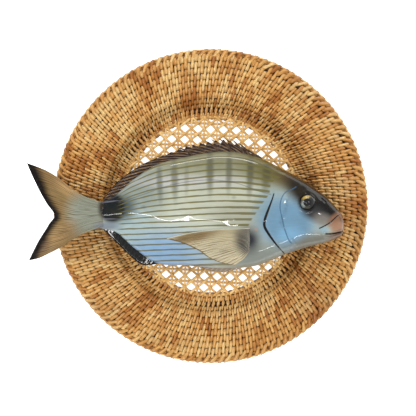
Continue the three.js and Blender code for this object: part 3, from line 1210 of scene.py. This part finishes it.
    def build(self, shop: Workshop) -> bpy.types.Material:
        """Mixes the material: spray by spray, then brush lines, creases and the clear glaze."""
        wires, shader, place = shop.start(
            self.name,
            Roughness=0.32,
            Coat_Roughness=0.03,
            Coat_IOR=1.52,
            Specular_IOR_Level=0.12,
        )
        glaze = wires.use(shop.glaze, Vector=place, Wave=0.035).outputs
        colour = self.ground
        for spot in (*self.sprays, *self.bars):
            colour = shop.spray(wires, place, colour, spot)
        drag = wires.scaled(glaze["Drag"], 0.5, 0.25)
        colour = wires.cover(colour, drag, 0.22, "OVERLAY")
        colour = wires.cover(colour, self.line_colour, self.lines(wires, place))
        side_line = wires.times(self.drawn(wires, "lateral", 0.25, 0.5), 0.45)
        colour = wires.cover(colour, self.bar_colour, side_line)
        cheek = wires.times(self.drawn(wires, "cheek", 0.25, 0.7), 0.75)
        colour = wires.cover(colour, self.cheek_colour, cheek)
        middle = wires.vectors("SUBTRACT", place, (58.0, -18.0, 0.0))
        spread = wires.vectors("LENGTH", wires.vectors("MULTIPLY", middle, (0.3, 1.0, 0.0)))
        brush = wires.scaled(wires.ease(spread, 36.0, 4.0), 0.85, 0.2)
        gill = self.drawn(wires, "gill", brush, 0.55)
        colour = wires.cover(colour, self.gill_colour, gill)
        colour = wires.cover(colour, self.mouth_colour, self.drawn(wires, "mouth", 0.35, 0.7))
        colour = wires.cover(colour, self.gill_colour, self.drawn(wires, "maxilla", 0.3, 0.6))
        colour = wires.cover(colour, self.gill_colour, wires.times(glaze["Pinhole"], 0.5))
        dust = wires.use(shop.dust, Vector=place, Size=0.09).outputs["Mask"]
        colour = wires.cover(colour, self.line_colour, wires.times(dust, 0.07))
        height = wires.plus(glaze["Wave"], wires.times(glaze["Pinhole"], -0.02))
        wires.give(
            shader,
            Base_Color=colour,
            Coat_Weight=wires.scaled(dust, -0.08, 1.0),
            Normal=wires.bump(height, 0.5, 0.0006),
        )
        return shop.made


@dataclass(frozen=True)
class FinPaint:
    """A painted fin: rays fanning from its root, a dark free edge and sprayed patches; where given, a
    painted highlight along its first side edge and painted glints on the rays near the root.
    """

    name: str
    root: Colour
    middle: Colour
    ray: Colour
    edge: Colour
    edge_width: float = 0.06
    rays: float = 26.0
    ray_strength: float = 0.5
    sweep: float = 0.0
    # Colour of a painted highlight along the first side edge.
    side: Colour | None = None
    # Colour of painted glints on the rays near the root.
    ray_glint: Colour | None = None
    sprays: tuple[Spray, ...] = ()

    def build(self, shop: Workshop) -> bpy.types.Material:
        """Mixes the material from the fin's own map: root to edge, then ray by ray."""
        wires, shader, place = shop.start(
            self.name, Roughness=0.35, Coat_Roughness=0.04, Coat_IOR=1.52, Specular_IOR_Level=0.12
        )
        split = wires.add("SeparateXYZ")
        wires.feed(split.inputs[0], wires.add("UVMap").outputs[0])
        out, side = split.outputs[0], split.outputs[1]
        across = wires.scaled(out, -self.sweep, side)
        swept = wires.add("CombineXYZ")
        wires.feed(swept.inputs[0], out)
        wires.feed(swept.inputs[1], across)
        glaze = wires.use(shop.glaze, Vector=place, Wave=0.05).outputs
        colour = wires.cover(self.root, self.middle, wires.ease(out, 0.0, 0.35))
        for spot in self.sprays:
            colour = shop.spray(wires, place, colour, spot)
        lane = wires.maths("FRACT", wires.times(across, self.rays))
        gap = wires.maths("ABSOLUTE", wires.minus(lane, 0.5))
        stretched = wires.vectors("MULTIPLY", swept.outputs[0], (2.5, 90.0, 1.0))
        uneven = wires.cloud(stretched, 1.0, 3.0)
        rays = wires.times(wires.ease(gap, 0.2, 0.44), self.ray_strength)
        patchy = wires.ease(uneven, 0.36, 0.6)
        colour = wires.cover(colour, self.ray, wires.times(rays, patchy))
        dark = wires.times(wires.ease(uneven, 0.52, 0.78), self.ray_strength)
        colour = wires.cover(colour, self.edge, dark)
        # Painted glints: pale lanes along the rays near the root.
        if self.ray_glint is not None:
            blades = wires.times(wires.ease(gap, 0.22, 0.1), wires.ease(out, 0.5, 0.12))
            colour = wires.cover(colour, self.ray_glint, wires.times(blades, 0.75))
        ragged = wires.scaled(uneven, 0.06, out)
        rim = wires.ease(ragged, 1.02 - 1.6 * self.edge_width, 1.03 - 0.6 * self.edge_width)
        colour = wires.cover(colour, self.edge, rim)
        # Painted highlight along the first side edge.
        if self.side is not None:
            colour = wires.cover(colour, self.side, wires.ease(side, 0.05, 0.02))
        height = wires.plus(glaze["Wave"], wires.times(uneven, 0.4))
        wires.give(
            shader,
            Base_Color=colour,
            Coat_Weight=wires.scaled(rim, -0.75, 0.95),
            Normal=wires.bump(height, 0.4, 0.0004),
        )
        return shop.made


@dataclass(frozen=True)
class EyePaint:
    """The eye: black pupil, dull iris with a pale patch and a gold arc, and a dark rim."""

    name: str = "painted_eye"
    pupil: Colour = paint(4, 4, 5)
    iris: Colour = paint(88, 84, 70)
    pale: Colour = paint(170, 176, 170)
    gold: Colour = paint(176, 146, 62)
    rim: Colour = paint(26, 24, 24)
    centre: Point = (100.2, 3.7)

    def build(self, shop: Workshop) -> bpy.types.Material:
        """Mixes the material by the distance from the middle of the pupil."""
        wires, shader, place = shop.start(
            self.name, Roughness=0.2, Coat_Weight=1.0, Coat_Roughness=0.01, Coat_IOR=1.6
        )
        from_middle = wires.vectors("SUBTRACT", place, (*self.centre, 0.0))
        distance = wires.vectors("LENGTH", wires.vectors("MULTIPLY", from_middle, (1.0, 1.0, 0.0)))
        fleck = wires.scaled(wires.cloud(place, 0.9, 4.0), 0.9, distance)
        colour = wires.cover(self.rim, self.iris, wires.ease(fleck, 8.0, 7.0))
        patches = (
            Spray((95.6, 1.0), (3.0, 5.2), self.pale, 0.9, -30, 0.9),
            Spray((98.6, 9.0), (5.8, 2.0), self.gold, 0.95, 16, 0.8),
            Spray((105.6, 2.6), (4.6, 8.0), self.rim, 0.95, 8, 0.8),
        )
        for patch in patches:
            colour = shop.spray(wires, place, colour, patch)
        colour = wires.cover(colour, self.rim, wires.ease(fleck, 7.2, 8.0))
        colour = wires.cover(colour, self.pupil, wires.ease(distance, 4.5, 4.0))
        wires.give(shader, Base_Color=colour)
        return shop.made


@dataclass
class Station:
    """One cut across the fish."""

    x: float
    back: float
    belly: float
    half: float


@dataclass
class BreamBody:
    """The body of the fish: its sections, the relief on its flanks and its fields for the paint."""

    mid_height: float
    stations: tuple[tuple[float, float, float, float], ...] = (
        (-131, -9, -9, 0),
        (-127, 3, -21, 0.8),
        (-113, 5.2, -23.8, 5.2),
        (-98, 12.8, -28, 8.5),
        (-80, 28.3, -43.8, 13.5),
        (-56, 43.2, -59.8, 19.5),
        (-24, 51.7, -62.2, 24),
        (12, 57, -65.2, 26),
        (46, 52, -62.6, 26),
        (76, 38.2, -51.2, 23.5),
        (100, 25, -43.3, 19.5),
        (119, 10.8, -38.6, 15),
        (131, -1.8, -34.4, 11),
        (137, -9.5, -30.2, 7.6),
        (139.6, -20, -20, 0),
    )
    eye_at: Point = (100.2, 3.7)
    socket_depth: float = 2.4
    droop: float = 8.0
    droop_start: float = -50.0
    droop_end: float = -192.6
    line_pitch: float = 6.5
    belly_line_pitch: float = 5.8
    relief_start: float = 45.0
    table_steps: int = 560
    steps: tuple[int, int] = (280, 216)
    nostrils: tuple[Point, ...] = ((115.5, 7.2), (118.6, 4.4))
    line_ends: tuple[Point, ...] = (
        (-70, 20), (-40, 30), (-13, 44), (-6, 49), (1, 53), (7, 58),
        (13, 62), (23, 63), (27, 68), (31, 76), (34, 80), (60, 86),
    )
    gill: Crease = creased(
        (65.5, 13.1), (63.4, 6.3), (60.2, -2.1), (57.1, -10.5), (55.5, -16.8), (56, -22.1),
        (60.2, -29.4), (65.5, -36.8), (70.7, -43.1), (77, -49.9),
    )
    cheek: Crease = creased(
        (89, 20), (85.4, 17.9), (77, 13.7), (72.8, 6.3), (71.8, -2.1), (73.9, -12.6),
        (77, -25.2), (81.2, -35.7), (84.4, -38.9),
    )
    mouth: Crease = creased((141, -25.5), (135, -27.2), (129, -28.4), (124, -29), (119.5, -28.8))
    maxilla: Crease = creased(
        (135, -9), (131.7, -10.4), (126, -15.6), (120.5, -19.5), (112.6, -23.4),
    )
    lateral: Crease = creased(
        (-96, 3), (-70, 12), (-40, 22), (-5, 27), (25, 24), (48, 16), (62, 12),
    )
    table: list[Station] = field(init=False)
    reaches: list[float] = field(init=False)

    def __post_init__(self) -> None:
        """Draws the section lines once, closely enough to read between them."""
        columns = [Trace(tuple((s[0], s[i]) for s in self.stations)) for i in (1, 2, 3)]
        self.table = []
        for i in range(self.table_steps + 1):
            back, belly, half = (column.at(i / self.table_steps) for column in columns)
            self.table.append(Station(back.x, back.y, belly.y, max(half.y, 0.0)))
        self.reaches = [station.x for station in self.table]

    def section(self, share: float) -> Station:
        """The section at a share of the stations, from the tail to the snout."""
        reach = min(max(share, 0.0), 1.0) * (len(self.table) - 1)
        i = min(int(reach), len(self.table) - 2)
        return self.between(i, reach - i)

    def between(self, i: int, share: float) -> Station:
        """The section a share of the way from one kept section to the next."""
        near, far = self.table[i], self.table[i + 1]
        return Station(
            mixed(near.x, far.x, share),
            mixed(near.back, far.back, share),
            mixed(near.belly, far.belly, share),
            mixed(near.half, far.half, share),
        )

    def cut(self, x: float) -> Station:
        """The section at a distance along the fish."""
        i = min(max(bisect_right(self.reaches, x) - 1, 0), len(self.table) - 2)
        run = max(self.reaches[i + 1] - self.reaches[i], 1e-9)
        return self.between(i, min(max((x - self.reaches[i]) / run, 0.0), 1.0))

    def flank(self, x: float, y: float) -> float:
        """How far the plain flank stands from the fish's middle plane."""
        cut = self.cut(x)
        middle, reach = (cut.back + cut.belly) / 2, max((cut.back - cut.belly) / 2, 1e-6)
        across = min(max((y - middle) / reach, -1.0), 1.0)
        return cut.half * math.sqrt(1 - across * across)

    def relief(self, x: float, y: float) -> float:
        """How far the modelled flank stands proud of the plain one.

        Args:
            x: distance along the fish.
            y: distance across the fish.

        Returns:
            The height of the relief.
        """
        rise = 0.35 * noise.noise(Vector((x / 24, y / 15, 3.7)))
        rise += 0.06 * noise.noise(Vector((x / 9, y / 7, 9.1)))
        if x < self.relief_start:
            return rise
        gill, cheek = self.gill.read(x, y)[0], self.cheek.read(x, y)[0]
        mouth, maxilla = abs(self.mouth.read(x, y)[0]), abs(self.maxilla.read(x, y)[0])
        # The gill cover stands proud of its groove, and the cheek of the crease before it.
        rise += 1.5 * eased(1.4, -0.6, gill) * eased(104, 84, x) * eased(20, 8, y)
        rise -= 1.0 * mound(gill, 1.1)
        rise += 0.45 * mound(cheek + 2.2, 2.4) - 0.4 * mound(cheek, 0.9)
        rise += 1.2 * mound(math.hypot((x - 92) / 15, (y + 14) / 18), 1.0)
        # A raised ring round the level socket of the eye.
        eye = math.hypot(x - self.eye_at[0], y - self.eye_at[1])
        rise += 0.7 * mound(eye - 11.0, 2.2)
        socket = self.flank(*self.eye_at) - self.flank(x, y) - self.socket_depth
        rise = mixed(rise, socket, eased(10.4, 8.0, eye))
        # The snout with its nostrils, then the lips and the lines between them.
        rise += 0.7 * mound(math.hypot(x - 116, y + 9), 6.5)
        for hole in self.nostrils:
            rise -= 0.9 * mound(math.hypot(x - hole[0], y - hole[1]), 1.3)
        rise += 0.8 * mound(mouth - 2.6, 1.6) * eased(108, 118, x)
        rise -= 1.5 * mound(mouth, 0.9) + 0.8 * mound(maxilla, 0.8)
        return rise

    def settle(self, x: float, y: float, z: float) -> Vector:
        """Puts a place of the fish on the plate, with the droop of its tail."""
        share = max(0.0, (self.droop_start - x) / (self.droop_start - self.droop_end))
        return Vector((x, y, self.mid_height + z - self.droop * share * share))

    def level(self, x: float, y: float) -> float:
        """Which brushed line a place lies on: whole and a half in the middle of each line."""
        cut = self.cut(x)
        base = -14.0 - 0.04 * max(17 - x, 0)
        if y < base:
            return (y - base) / self.belly_line_pitch + 0.5
        share = max((cut.back - base) / 71, 0.12) ** 0.7
        return (y - base) / (share * self.line_pitch) + 0.5

    def line_reach(self, x: float, y: float) -> float:
        """How far behind the front end of the brushed lines a place lies."""
        for (low, x_low), (high, x_high) in zip(self.line_ends, self.line_ends[1:]):
            if y <= high:
                share = min(max((y - low) / (high - low), 0.0), 1.0)
                return mixed(x_low, x_high, share) - x
        return self.line_ends[-1][1] - x

    def build(self, shop: Workshop) -> None:
        """Makes the body.

        Args:
            shop: the shared finishes.
        """
        names = ("gill", "cheek", "mouth", "maxilla", "lateral")
        creases = {name: getattr(self, name) for name in names}
        beside = {name: name + "_beside" for name in creases}
        fields = ("level", "line_reach", "line_start")
        bench = Bench("bream_body", (*fields, *creases, *beside.values()))

        def flat(u: float, v: float) -> tuple[float, float]:
            cut = self.section(u)
            middle, reach = (cut.back + cut.belly) / 2, (cut.back - cut.belly) / 2
            return cut.x, middle + reach * math.cos(v * FULL_TURN)

        def place(u: float, v: float) -> Vector:
            x, y = flat(u, v)
            rise = math.sin(v * FULL_TURN)
            flank = self.section(u).half * rise
            proud = self.relief(x, y) * min(abs(rise) * 1.6, 1.0) * min(self.section(u).half / 4, 1)
            return self.settle(x, y, flank + (proud if rise > 0 else -proud))

        def mark(u: float, v: float) -> dict[str, float]:
            x, y = flat(u, v)
            marks = {
                "level": self.level(x, y),
                "line_reach": self.line_reach(x, y),
                "line_start": x + 99 + max(-y - 20, 0) * 0.2,
            }
            for name, crease in creases.items():
                marks[name], marks[beside[name]] = crease.read(x, y)
            return marks

        bench.skin(*self.steps, place, mark)
        bench.piece("sea_bream", Slot.GLAZE, [FlankPaint().build(shop)], shop.axis)


@dataclass
class Eye:
    """An eye set in its socket, with a raised cornea."""

    body: BreamBody
    flank: Flank
    radius: float = 8.6
    sink: float = 5.2
    flatness: float = 0.82
    cornea_height: float = 0.7
    cornea_reach: float = 4.6
    groove_depth: float = 0.35
    groove_radius: float = 5.6
    groove_reach: float = 0.8
    segments: tuple[int, int] = (56, 36)

    def build(self, shop: Workshop) -> None:
        """Turns and sets the eye.

        Args:
            shop: the shared finishes.
        """
        bench = Bench("bream_eye_" + self.flank.name.lower())
        around, down = self.segments
        ball = bmesh.ops.create_uvsphere(
            bench.mesh, u_segments=around, v_segments=down, radius=self.radius, calc_uvs=True
        )["verts"]
        side, (x, y) = self.flank.value, self.body.eye_at
        height = self.body.flank(x, y) - self.sink
        for vert in ball:
            out = math.hypot(vert.co.x, vert.co.y)
            vert.co.z *= self.flatness
            if vert.co.z > 0:
                groove = self.groove_depth * mound(out - self.groove_radius, self.groove_reach)
                vert.co.z += self.cornea_height * mound(out, self.cornea_reach) - groove
            vert.co = self.body.settle(x + vert.co.x, y + vert.co.y, side * (height + vert.co.z))
        for face in bench.mesh.faces:
            face.smooth = True
        bench.piece("sea_bream", Slot.GLAZE, [EyePaint().build(shop)], shop.axis)


@dataclass
class Fin:
    """A fin between four edge lines, lens-thick, with raised rays from root to free edge."""

    name: str
    root: Trace
    edge: Trace
    first_side: Trace
    last_side: Trace
    finish: FinPaint
    thickness: float = 2.6
    rays: int = 26
    ray_height: float = 0.28
    steps: tuple[int, int] = (44, 160)
    flank: Flank | None = None
    sweep: float = 0.0
    root_half: float = 0.0
    lift: float = 1.0
    root_sink: float = 1.6
    jag: Callable[[float], float] | None = None

    def patch(self, u: float, v: float) -> Vector:
        """A place between the four edge lines: u from root to edge, v from side to side."""
        root, edge = self.root.at(v), self.edge.at(v)
        first, last = self.first_side.at(u), self.last_side.at(u)
        near = self.root.at(0).lerp(self.root.at(1), v)
        far = self.edge.at(0).lerp(self.edge.at(1), v)
        corners = near.lerp(far, u)
        return root.lerp(edge, u) + first.lerp(last, v) - corners

    def half_thickness(self, u: float, v: float) -> float:
        """Half of the fin's thickness, nothing at its borders but for a root's own swell."""
        border = min(u * 8, (1 - u) * 14, v * 30, (1 - v) * 30, 1.0)
        body = mixed(1.0, 0.42, u) * self.thickness / 2
        lane = self.rays * (v - self.sweep * u)
        ridge = self.ray_height * (0.5 + 0.5 * math.cos(FULL_TURN * lane))
        swell = self.root_half * eased(0.44, 0.0, u) * math.sqrt(max(1 - (2 * v - 1) ** 2, 0.0))
        return (body + ridge * min(4 * u, 1.0)) * math.sqrt(max(border, 0.0)) + swell

    def build(self, body: BreamBody, shop: Workshop) -> None:
        """Makes the fin.

        Args:
            body: the body that it grows from.
            shop: the shared finishes.
        """
        bench = Bench(self.name)

        def face(side: int) -> Placing:
            def place(u: float, v: float) -> Vector:
                at = self.patch(u, v)
                if self.jag is not None:
                    root = self.patch(0.0, v)
                    at = root.lerp(at, 1 - self.jag(v) * u * u)
                half = self.half_thickness(u, v)
                if self.flank is None:
                    return body.settle(at.x, at.y, side * half)
                height = body.flank(at.x, at.y) + body.relief(at.x, at.y)
                arch = self.lift * math.sin(math.pi * u) - self.root_sink * eased(0.14, 0.0, u)
                return body.settle(at.x, at.y, self.flank.value * (height + arch + side * half))

            return place

        for side in (1, -1):
            bench.skin(*self.steps, face(side))
        bmesh.ops.remove_doubles(bench.mesh, verts=bench.mesh.verts, dist=WELD)
        bench.close_ends()
        bench.piece("sea_bream", Slot.GLAZE, [self.finish.build(shop)], shop.axis)


@dataclass
class SpineRow:
    """The hard spines of the dorsal fin: swept-back blades, one overlapping the next."""

    count: int = 12
    first: float = 41.5
    pitch: float = 6.9
    blade: float = 1.7
    stray: float = 0.6
    leans: Point = (13.0, 19.0)
    root_depth: float = 2.0
    bow: float = 1.4
    sway: float = 0.9
    lift: float = 0.6
    steps: tuple[int, int] = (14, 10)
    seed: int = 5
    crest: Trace = through(
        (-45, 57.6), (-34, 61.2), (-22, 63.4), (-9, 68.0), (3, 70.6), (15, 71.4), (24, 69.0),
        (32, 63.2), (42, 55.4),
    )

    def crest_at(self, x: float) -> float:
        """Height of the crest at a distance along the fish."""
        return min(self.crest.walk(60), key=lambda place: abs(place.x - x)).y

    def build(self, body: BreamBody, shop: Workshop, finish: FinPaint) -> None:
        """Makes the row of spines.

        Args:
            body: the body that they grow from.
            shop: the shared finishes.
            finish: their paint.
        """
        bench = Bench("dorsal_spines")
        dice = random.Random(self.seed)
        for i in range(self.count):
            tip_x = self.first - i * self.pitch + dice.uniform(-self.stray, self.stray)
            tip = Vector((tip_x, self.crest_at(tip_x)))
            root_x = tip_x + mixed(*self.leans, i / self.count)
            root = Vector((root_x, body.cut(root_x).back - self.root_depth))
            bow = Vector((-(tip - root).y, (tip - root).x)).normalized() * -self.bow

            def place(u: float, v: float) -> Vector:
                middle = root.lerp(tip, u) + bow * math.sin(math.pi * u)
                wide = self.blade * (1 - u) ** 0.6 * min(1.0, 0.6 + 2 * u)
                around = v * FULL_TURN
                way = (tip - root).normalized()
                side = Vector((-way.y, way.x)) * wide * math.cos(around)
                thick = (0.35 + 0.75 * (1 - u)) * math.sin(around) * min((1 - u) * 6, 1.0)
                sway = self.sway * (i % 2 - 0.5) * math.sin(math.pi * u)
                return body.settle(middle.x + side.x, middle.y + side.y, thick + sway + self.lift)

            bench.skin(*self.steps, place)
        bench.close_ends()
        bench.piece("sea_bream", Slot.GLAZE, [finish.build(shop)], shop.axis)


def dark_fin(name: str, sweep: float = 0.0) -> FinPaint:
    """The brown-black paint with pale streaks of the back fin and its spines."""
    return FinPaint(
        name,
        root=paint(50, 32, 22),
        middle=paint(38, 20, 12),
        ray=paint(164, 130, 94),
        edge=paint(14, 7, 4),
        rays=24.0,
        ray_strength=0.8,
        sweep=sweep,
    )


def fins() -> tuple[Fin, ...]:
    """Every fin of the fish, with its outline and paint."""
    tail_paint = FinPaint(
        "painted_tail",
        root=paint(140, 146, 130),
        middle=paint(138, 112, 68),
        ray=paint(92, 70, 38),
        edge=paint(16, 10, 7),
        edge_width=0.1,
        rays=40.0,
        ray_strength=1.0,
        sprays=(
            Spray((-150, 22), (32, 9), paint(184, 146, 96), 0.85, -38),
            Spray((-172, 32), (18, 10), paint(126, 98, 58), 0.7, -30),
            *TAIL_ROOT,
            Spray((-158, -30), (22, 9), paint(164, 132, 86), 0.8, 36),
            Spray((-178, -40), (9, 15), paint(88, 66, 56), 0.8, -28),
            Spray((-187, -54), (9, 6), paint(34, 25, 24), 1.0, 30),
            Spray((-166, -6), (8, 14), paint(96, 72, 42), 0.7),
        ),
    )
    tail = Fin(
        "tail_fin",
        root=through((-106, 2), (-107, -9), (-106, -20)),
        edge=through(
            (-192.6, 45.2), (-187.8, 34), (-182.6, 23), (-177.6, 13.2), (-171.4, 2.6),
            (-163.4, -9.5), (-168.9, -18.6), (-174.2, -27.2), (-179.8, -36), (-185, -46),
            (-190.4, -57),
        ),
        first_side=through(
            (-106, 2), (-121, 6.4), (-134, 11.4), (-148, 20.8), (-160, 30), (-174, 38.2),
            (-192.6, 45.2),
        ),
        last_side=through(
            (-106, -20), (-121, -24.6), (-137, -31), (-156, -43), (-170, -50.2), (-180, -54.8),
            (-190.4, -57),
        ),
        finish=tail_paint,
        thickness=5.0,
        rays=36,
        ray_height=0.22,
        steps=(70, 200),
        root_half=3.4,
    )
    dorsal = Fin(
        "dorsal_fin",
        root=through(
            (50, 47), (45, 49), (28, 53), (8, 54), (-12, 52), (-35, 48), (-56, 40), (-77, 27),
            (-90, 15), (-101, 6),
        ),
        edge=through(
            (42, 55), (33, 61.5), (15, 69.6), (-8, 66.6), (-30, 61), (-53, 51.6), (-74, 42),
            (-95, 27.4), (-105, 16.5), (-113, 6.8),
        ),
        first_side=through((50, 47), (46, 51), (42, 55)),
        last_side=through((-101, 6), (-107, 6.2), (-113, 6.8)),
        finish=dark_fin("painted_back_fin", 0.09),
        thickness=2.8,
        rays=24,
        ray_height=0.3,
        sweep=0.09,
        steps=(24, 272),
        jag=lambda v: 0.3 * ((v * 26.0) % 1.0) * eased(0.62, 0.42, v),
    )
    anal = Fin(
        "anal_fin",
        root=through((-50, -54), (-64, -50), (-80, -38), (-94, -25), (-106, -19)),
        edge=through(
            (-53, -60), (-63.8, -61.6), (-72.2, -61.2), (-80, -55.8), (-88, -48.6),
            (-95.3, -41.2), (-103.7, -32.8), (-113, -24),
        ),
        first_side=through((-50, -54), (-51.5, -57), (-53, -60)),
        last_side=through((-106, -19), (-110, -21), (-113, -24)),
        finish=FinPaint(
            "painted_vent_fin",
            root=paint(34, 34, 38),
            middle=paint(10, 9, 9),
            ray=paint(48, 44, 44),
            edge=paint(5, 4, 4),
            rays=16.0,
            ray_strength=0.3,
        ),
        rays=16,
        ray_height=0.05,
        steps=(20, 120),
    )
    pelvic = Fin(
        "pelvic_fin",
        root=through((36, -58), (14, -61), (-6, -58)),
        edge=through((31, -65.6), (14, -68.4), (0, -67.6), (-10, -64)),
        first_side=through((36, -58), (34, -62), (31, -65.6)),
        last_side=through((-6, -58), (-8, -61), (-10, -64)),
        finish=FinPaint(
            "painted_belly_fin",
            root=paint(150, 160, 160),
            middle=paint(146, 128, 106),
            ray=paint(196, 190, 180),
            edge=paint(92, 70, 52),
            rays=9.0,
        ),
        rays=9,
        steps=(16, 70),
    )
    return (tail, dorsal, anal, pelvic, pectoral(Flank.UPPER), pectoral(Flank.LOWER))


def pectoral(flank: Flank) -> Fin:
    """The long breast fin, folded back along one flank."""
    return Fin(
        "pectoral_fin_" + flank.name.lower(),
        root=through((44, -22.6), (43.5, -30), (42.5, -38), (41, -45)),
        edge=through(
            (-46, -33.8), (-39, -35.8), (-32, -37.6), (-21.8, -41.6), (-11.2, -47), (-3, -53),
            (10, -58.8), (25, -61.6),
        ),
        first_side=through(
            (44, -22.6), (30.8, -23.4), (9.8, -24.2), (-11.2, -26.3), (-27, -28.9),
            (-46, -33.8),
        ),
        last_side=through((41, -45), (35, -54.5), (25, -61.6)),
        finish=FinPaint(
            "painted_breast_fin_" + flank.name.lower(),
            root=paint(28, 28, 36),
            middle=paint(206, 194, 160),
            ray=paint(70, 56, 34),
            edge=paint(104, 82, 46),
            # A painted highlight along the upper edge, and painted glints on the rays near the root.
            side=paint(206, 204, 186),
            ray_glint=paint(214, 208, 186),
            edge_width=0.03,
            rays=22.0,
            ray_strength=0.8,
            sprays=(
                Spray((-18, -32), (28, 7), paint(140, 112, 66), 0.8, 14),
                Spray((6, -46), (22, 14), paint(190, 180, 150), 0.6),
                Spray((40, -36), (16, 17), paint(24, 25, 34), 1.0, 0, 0.8),
            ),
        ),
        thickness=1.5,
        rays=22,
        ray_height=0.8,
        steps=(60, 176),
        flank=flank,
        lift=0.7,
    )


@dataclass
class Bream:
    """The whole fish."""

    shop: Workshop
    rest_gap: float = 0.3
    half_thickness: float = 26.0

    def build(self) -> None:
        """Makes the body, the eyes and the fins, resting on the webbing."""
        webbing_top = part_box("cane_webbing")[1].z / MM
        body = BreamBody(webbing_top + self.rest_gap + self.half_thickness)
        body.build(self.shop)
        for flank in Flank:
            Eye(body, flank).build(self.shop)
        for fin in fins():
            fin.build(body, self.shop)
        SpineRow().build(body, self.shop, dark_fin("painted_spines", 0.02))


@dataclass
class Softbox:
    """One area light: metres from the plate's axis, watts, and whether a glaze mirrors it."""

    name: str
    stand: tuple[float, float, float]
    aim: tuple[float, float, float]
    size: Point
    watts: float
    mirrored: bool = False

    def build(self, axis: Vector) -> None:
        """Hangs the light."""
        lamp = bpy.data.lights.new(self.name, "AREA")
        lamp.shape = "RECTANGLE"
        lamp.size, lamp.size_y = self.size
        lamp.energy = self.watts
        hung = bpy.data.objects.new(self.name, lamp)
        bpy.context.scene.collection.objects.link(hung)
        hung.location = axis + Vector(self.stand)
        hung.visible_glossy = self.mirrored
        way = Vector(self.aim) - Vector(self.stand)
        hung.rotation_euler = way.to_track_quat("-Z", "Y").to_euler()


@dataclass
class Studio:
    """The pale floor, the soft lights and the camera straight above."""

    axis: Vector
    floor_size: float = 6.0
    floor_drop: float = 0.0004
    camera_height: float = 3.0
    field_width: float = 0.437
    subject_height: float = 0.014
    sensor: float = 36.0
    aim: Point = (-0.0028, -0.0021)
    clip_end: float = 100.0
    floor_colour: Colour = paint(244, 244, 243)
    floor_roughness: float = 0.9
    floor_glow: Point = (0.12, 1.0)
    air_colour: Colour = (0.95, 0.97, 1.0, 1.0)
    air_strength: float = 0.3
    lights: tuple[Softbox, ...] = (
        Softbox("left_softbox", (-2.4, 0.9, 1.6), (0, 0, 0), (1.8, 1.8), 48),
        Softbox("right_softbox", (2.4, 0.5, 1.5), (0, 0, 0), (1.8, 1.8), 38),
        Softbox("back_softbox", (0.2, 2.6, 1.5), (0, 0, 0), (2.2, 1.4), 27),
        Softbox("front_softbox", (0.0, -2.4, 1.5), (0, 0, 0), (1.8, 1.4), 40),
        Softbox("strip_light", (-0.9, -0.25, 2.5), (-0.2, -0.446, 0), (0.03, 1.9), 5, True),
        Softbox("left_strip", (-2.4, 0.7, 1.3), (0, 0, 0), (0.14, 1.4), 9, True),
        Softbox("back_strip", (0.0, 2.6, 0.42), (0, 0, 0), (1.8, 0.14), 9, True),
        Softbox("front_strip", (1.1, -2.2, 1.5), (0, 0, 0), (0.9, 0.05), 2.5, True),
        Softbox("small_lamp", (1.45, 0.6, 2.5), (0, 0, 0), (0.26, 0.26), 4, True),
    )

    def floor(self) -> None:
        """Lays the pale floor, which glows a little, and fully to the camera, so it stays pale."""
        sheet = bmesh.new()
        bmesh.ops.create_grid(sheet, x_segments=1, y_segments=1, size=self.floor_size / 2)
        drop = Vector((self.axis.x, self.axis.y, -self.floor_drop))
        bmesh.ops.translate(sheet, vec=drop, verts=sheet.verts)
        mesh = bpy.data.meshes.new("studio_floor")
        sheet.to_mesh(mesh)
        sheet.free()
        material = bpy.data.materials.new("studio_floor")
        material.use_nodes = True
        shader = material.node_tree.nodes["Principled BSDF"]
        wires = Wiring(material.node_tree)
        seen, (least, most) = wires.add("LightPath").outputs["Is Camera Ray"], self.floor_glow
        glow = wires.give(wires.add("MapRange"), Value=seen, To_Min=least, To_Max=most)
        wires.give(
            shader,
            Base_Color=self.floor_colour,
            Roughness=self.floor_roughness,
            Emission_Color=(1.0, 1.0, 1.0, 1.0),
            Emission_Strength=glow.outputs[0],
        )
        mesh.materials.append(material)
        floor = bpy.data.objects.new("studio_floor", mesh)
        bpy.context.scene.collection.objects.link(floor)

    def camera(self) -> None:
        """Hangs the camera over the plate, looking straight down."""
        lens = bpy.data.cameras.new("camera")
        lens.sensor_width = self.sensor
        distance = self.camera_height - self.subject_height
        lens.lens = self.sensor * distance / self.field_width
        lens.clip_end = self.clip_end
        camera = bpy.data.objects.new("camera", lens)
        bpy.context.scene.collection.objects.link(camera)
        camera.location = self.axis + Vector((self.aim[0], self.aim[1], self.camera_height))
        bpy.context.scene.camera = camera

    def build(self) -> None:
        """Sets up the whole studio."""
        self.floor()
        self.camera()
        for light in self.lights:
            light.build(self.axis)
        world = bpy.data.worlds.new("studio_air")
        world.use_nodes = True
        air = world.node_tree.nodes["Background"]
        air.inputs["Color"].default_value = self.air_colour
        air.inputs["Strength"].default_value = self.air_strength
        bpy.context.scene.world = world
        bpy.context.scene.view_settings.view_transform = "Standard"
        bpy.context.scene.view_settings.look = "None"


def plate_axis() -> Vector:
    """Where the plate's axis meets the ground, in metres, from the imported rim."""
    low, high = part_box("rim_border")
    return Vector(((low.x + high.x) / 2, (low.y + high.y) / 2, 0.0))


def main() -> None:
    """Builds the plate, the fish and the studio in that order."""
    logging.basicConfig(level=logging.INFO, format="%(message)s")
    shop = Workshop(plate_axis())
    weave = CoilWeave(shop)
    weave.build("well_coil_weave", "well_coil", 0.0, 2.5)
    weave.build("wall_coil_weave", "wall_coil", 2.5, 4.0)
    weave.build("inner_brim_weave", "inner_brim_coil", 4.0, 7.5)
    weave.build("outer_brim_weave", "outer_brim_coil", 7.5, weave.spiral.end)
    RimBraid(weave).build()
    seat = CaneSeat(shop)
    seat.webbing()
    seat.hoop()
    Bream(shop).build()
    Studio(shop.axis).build()


if __name__ == "__main__":
    main()
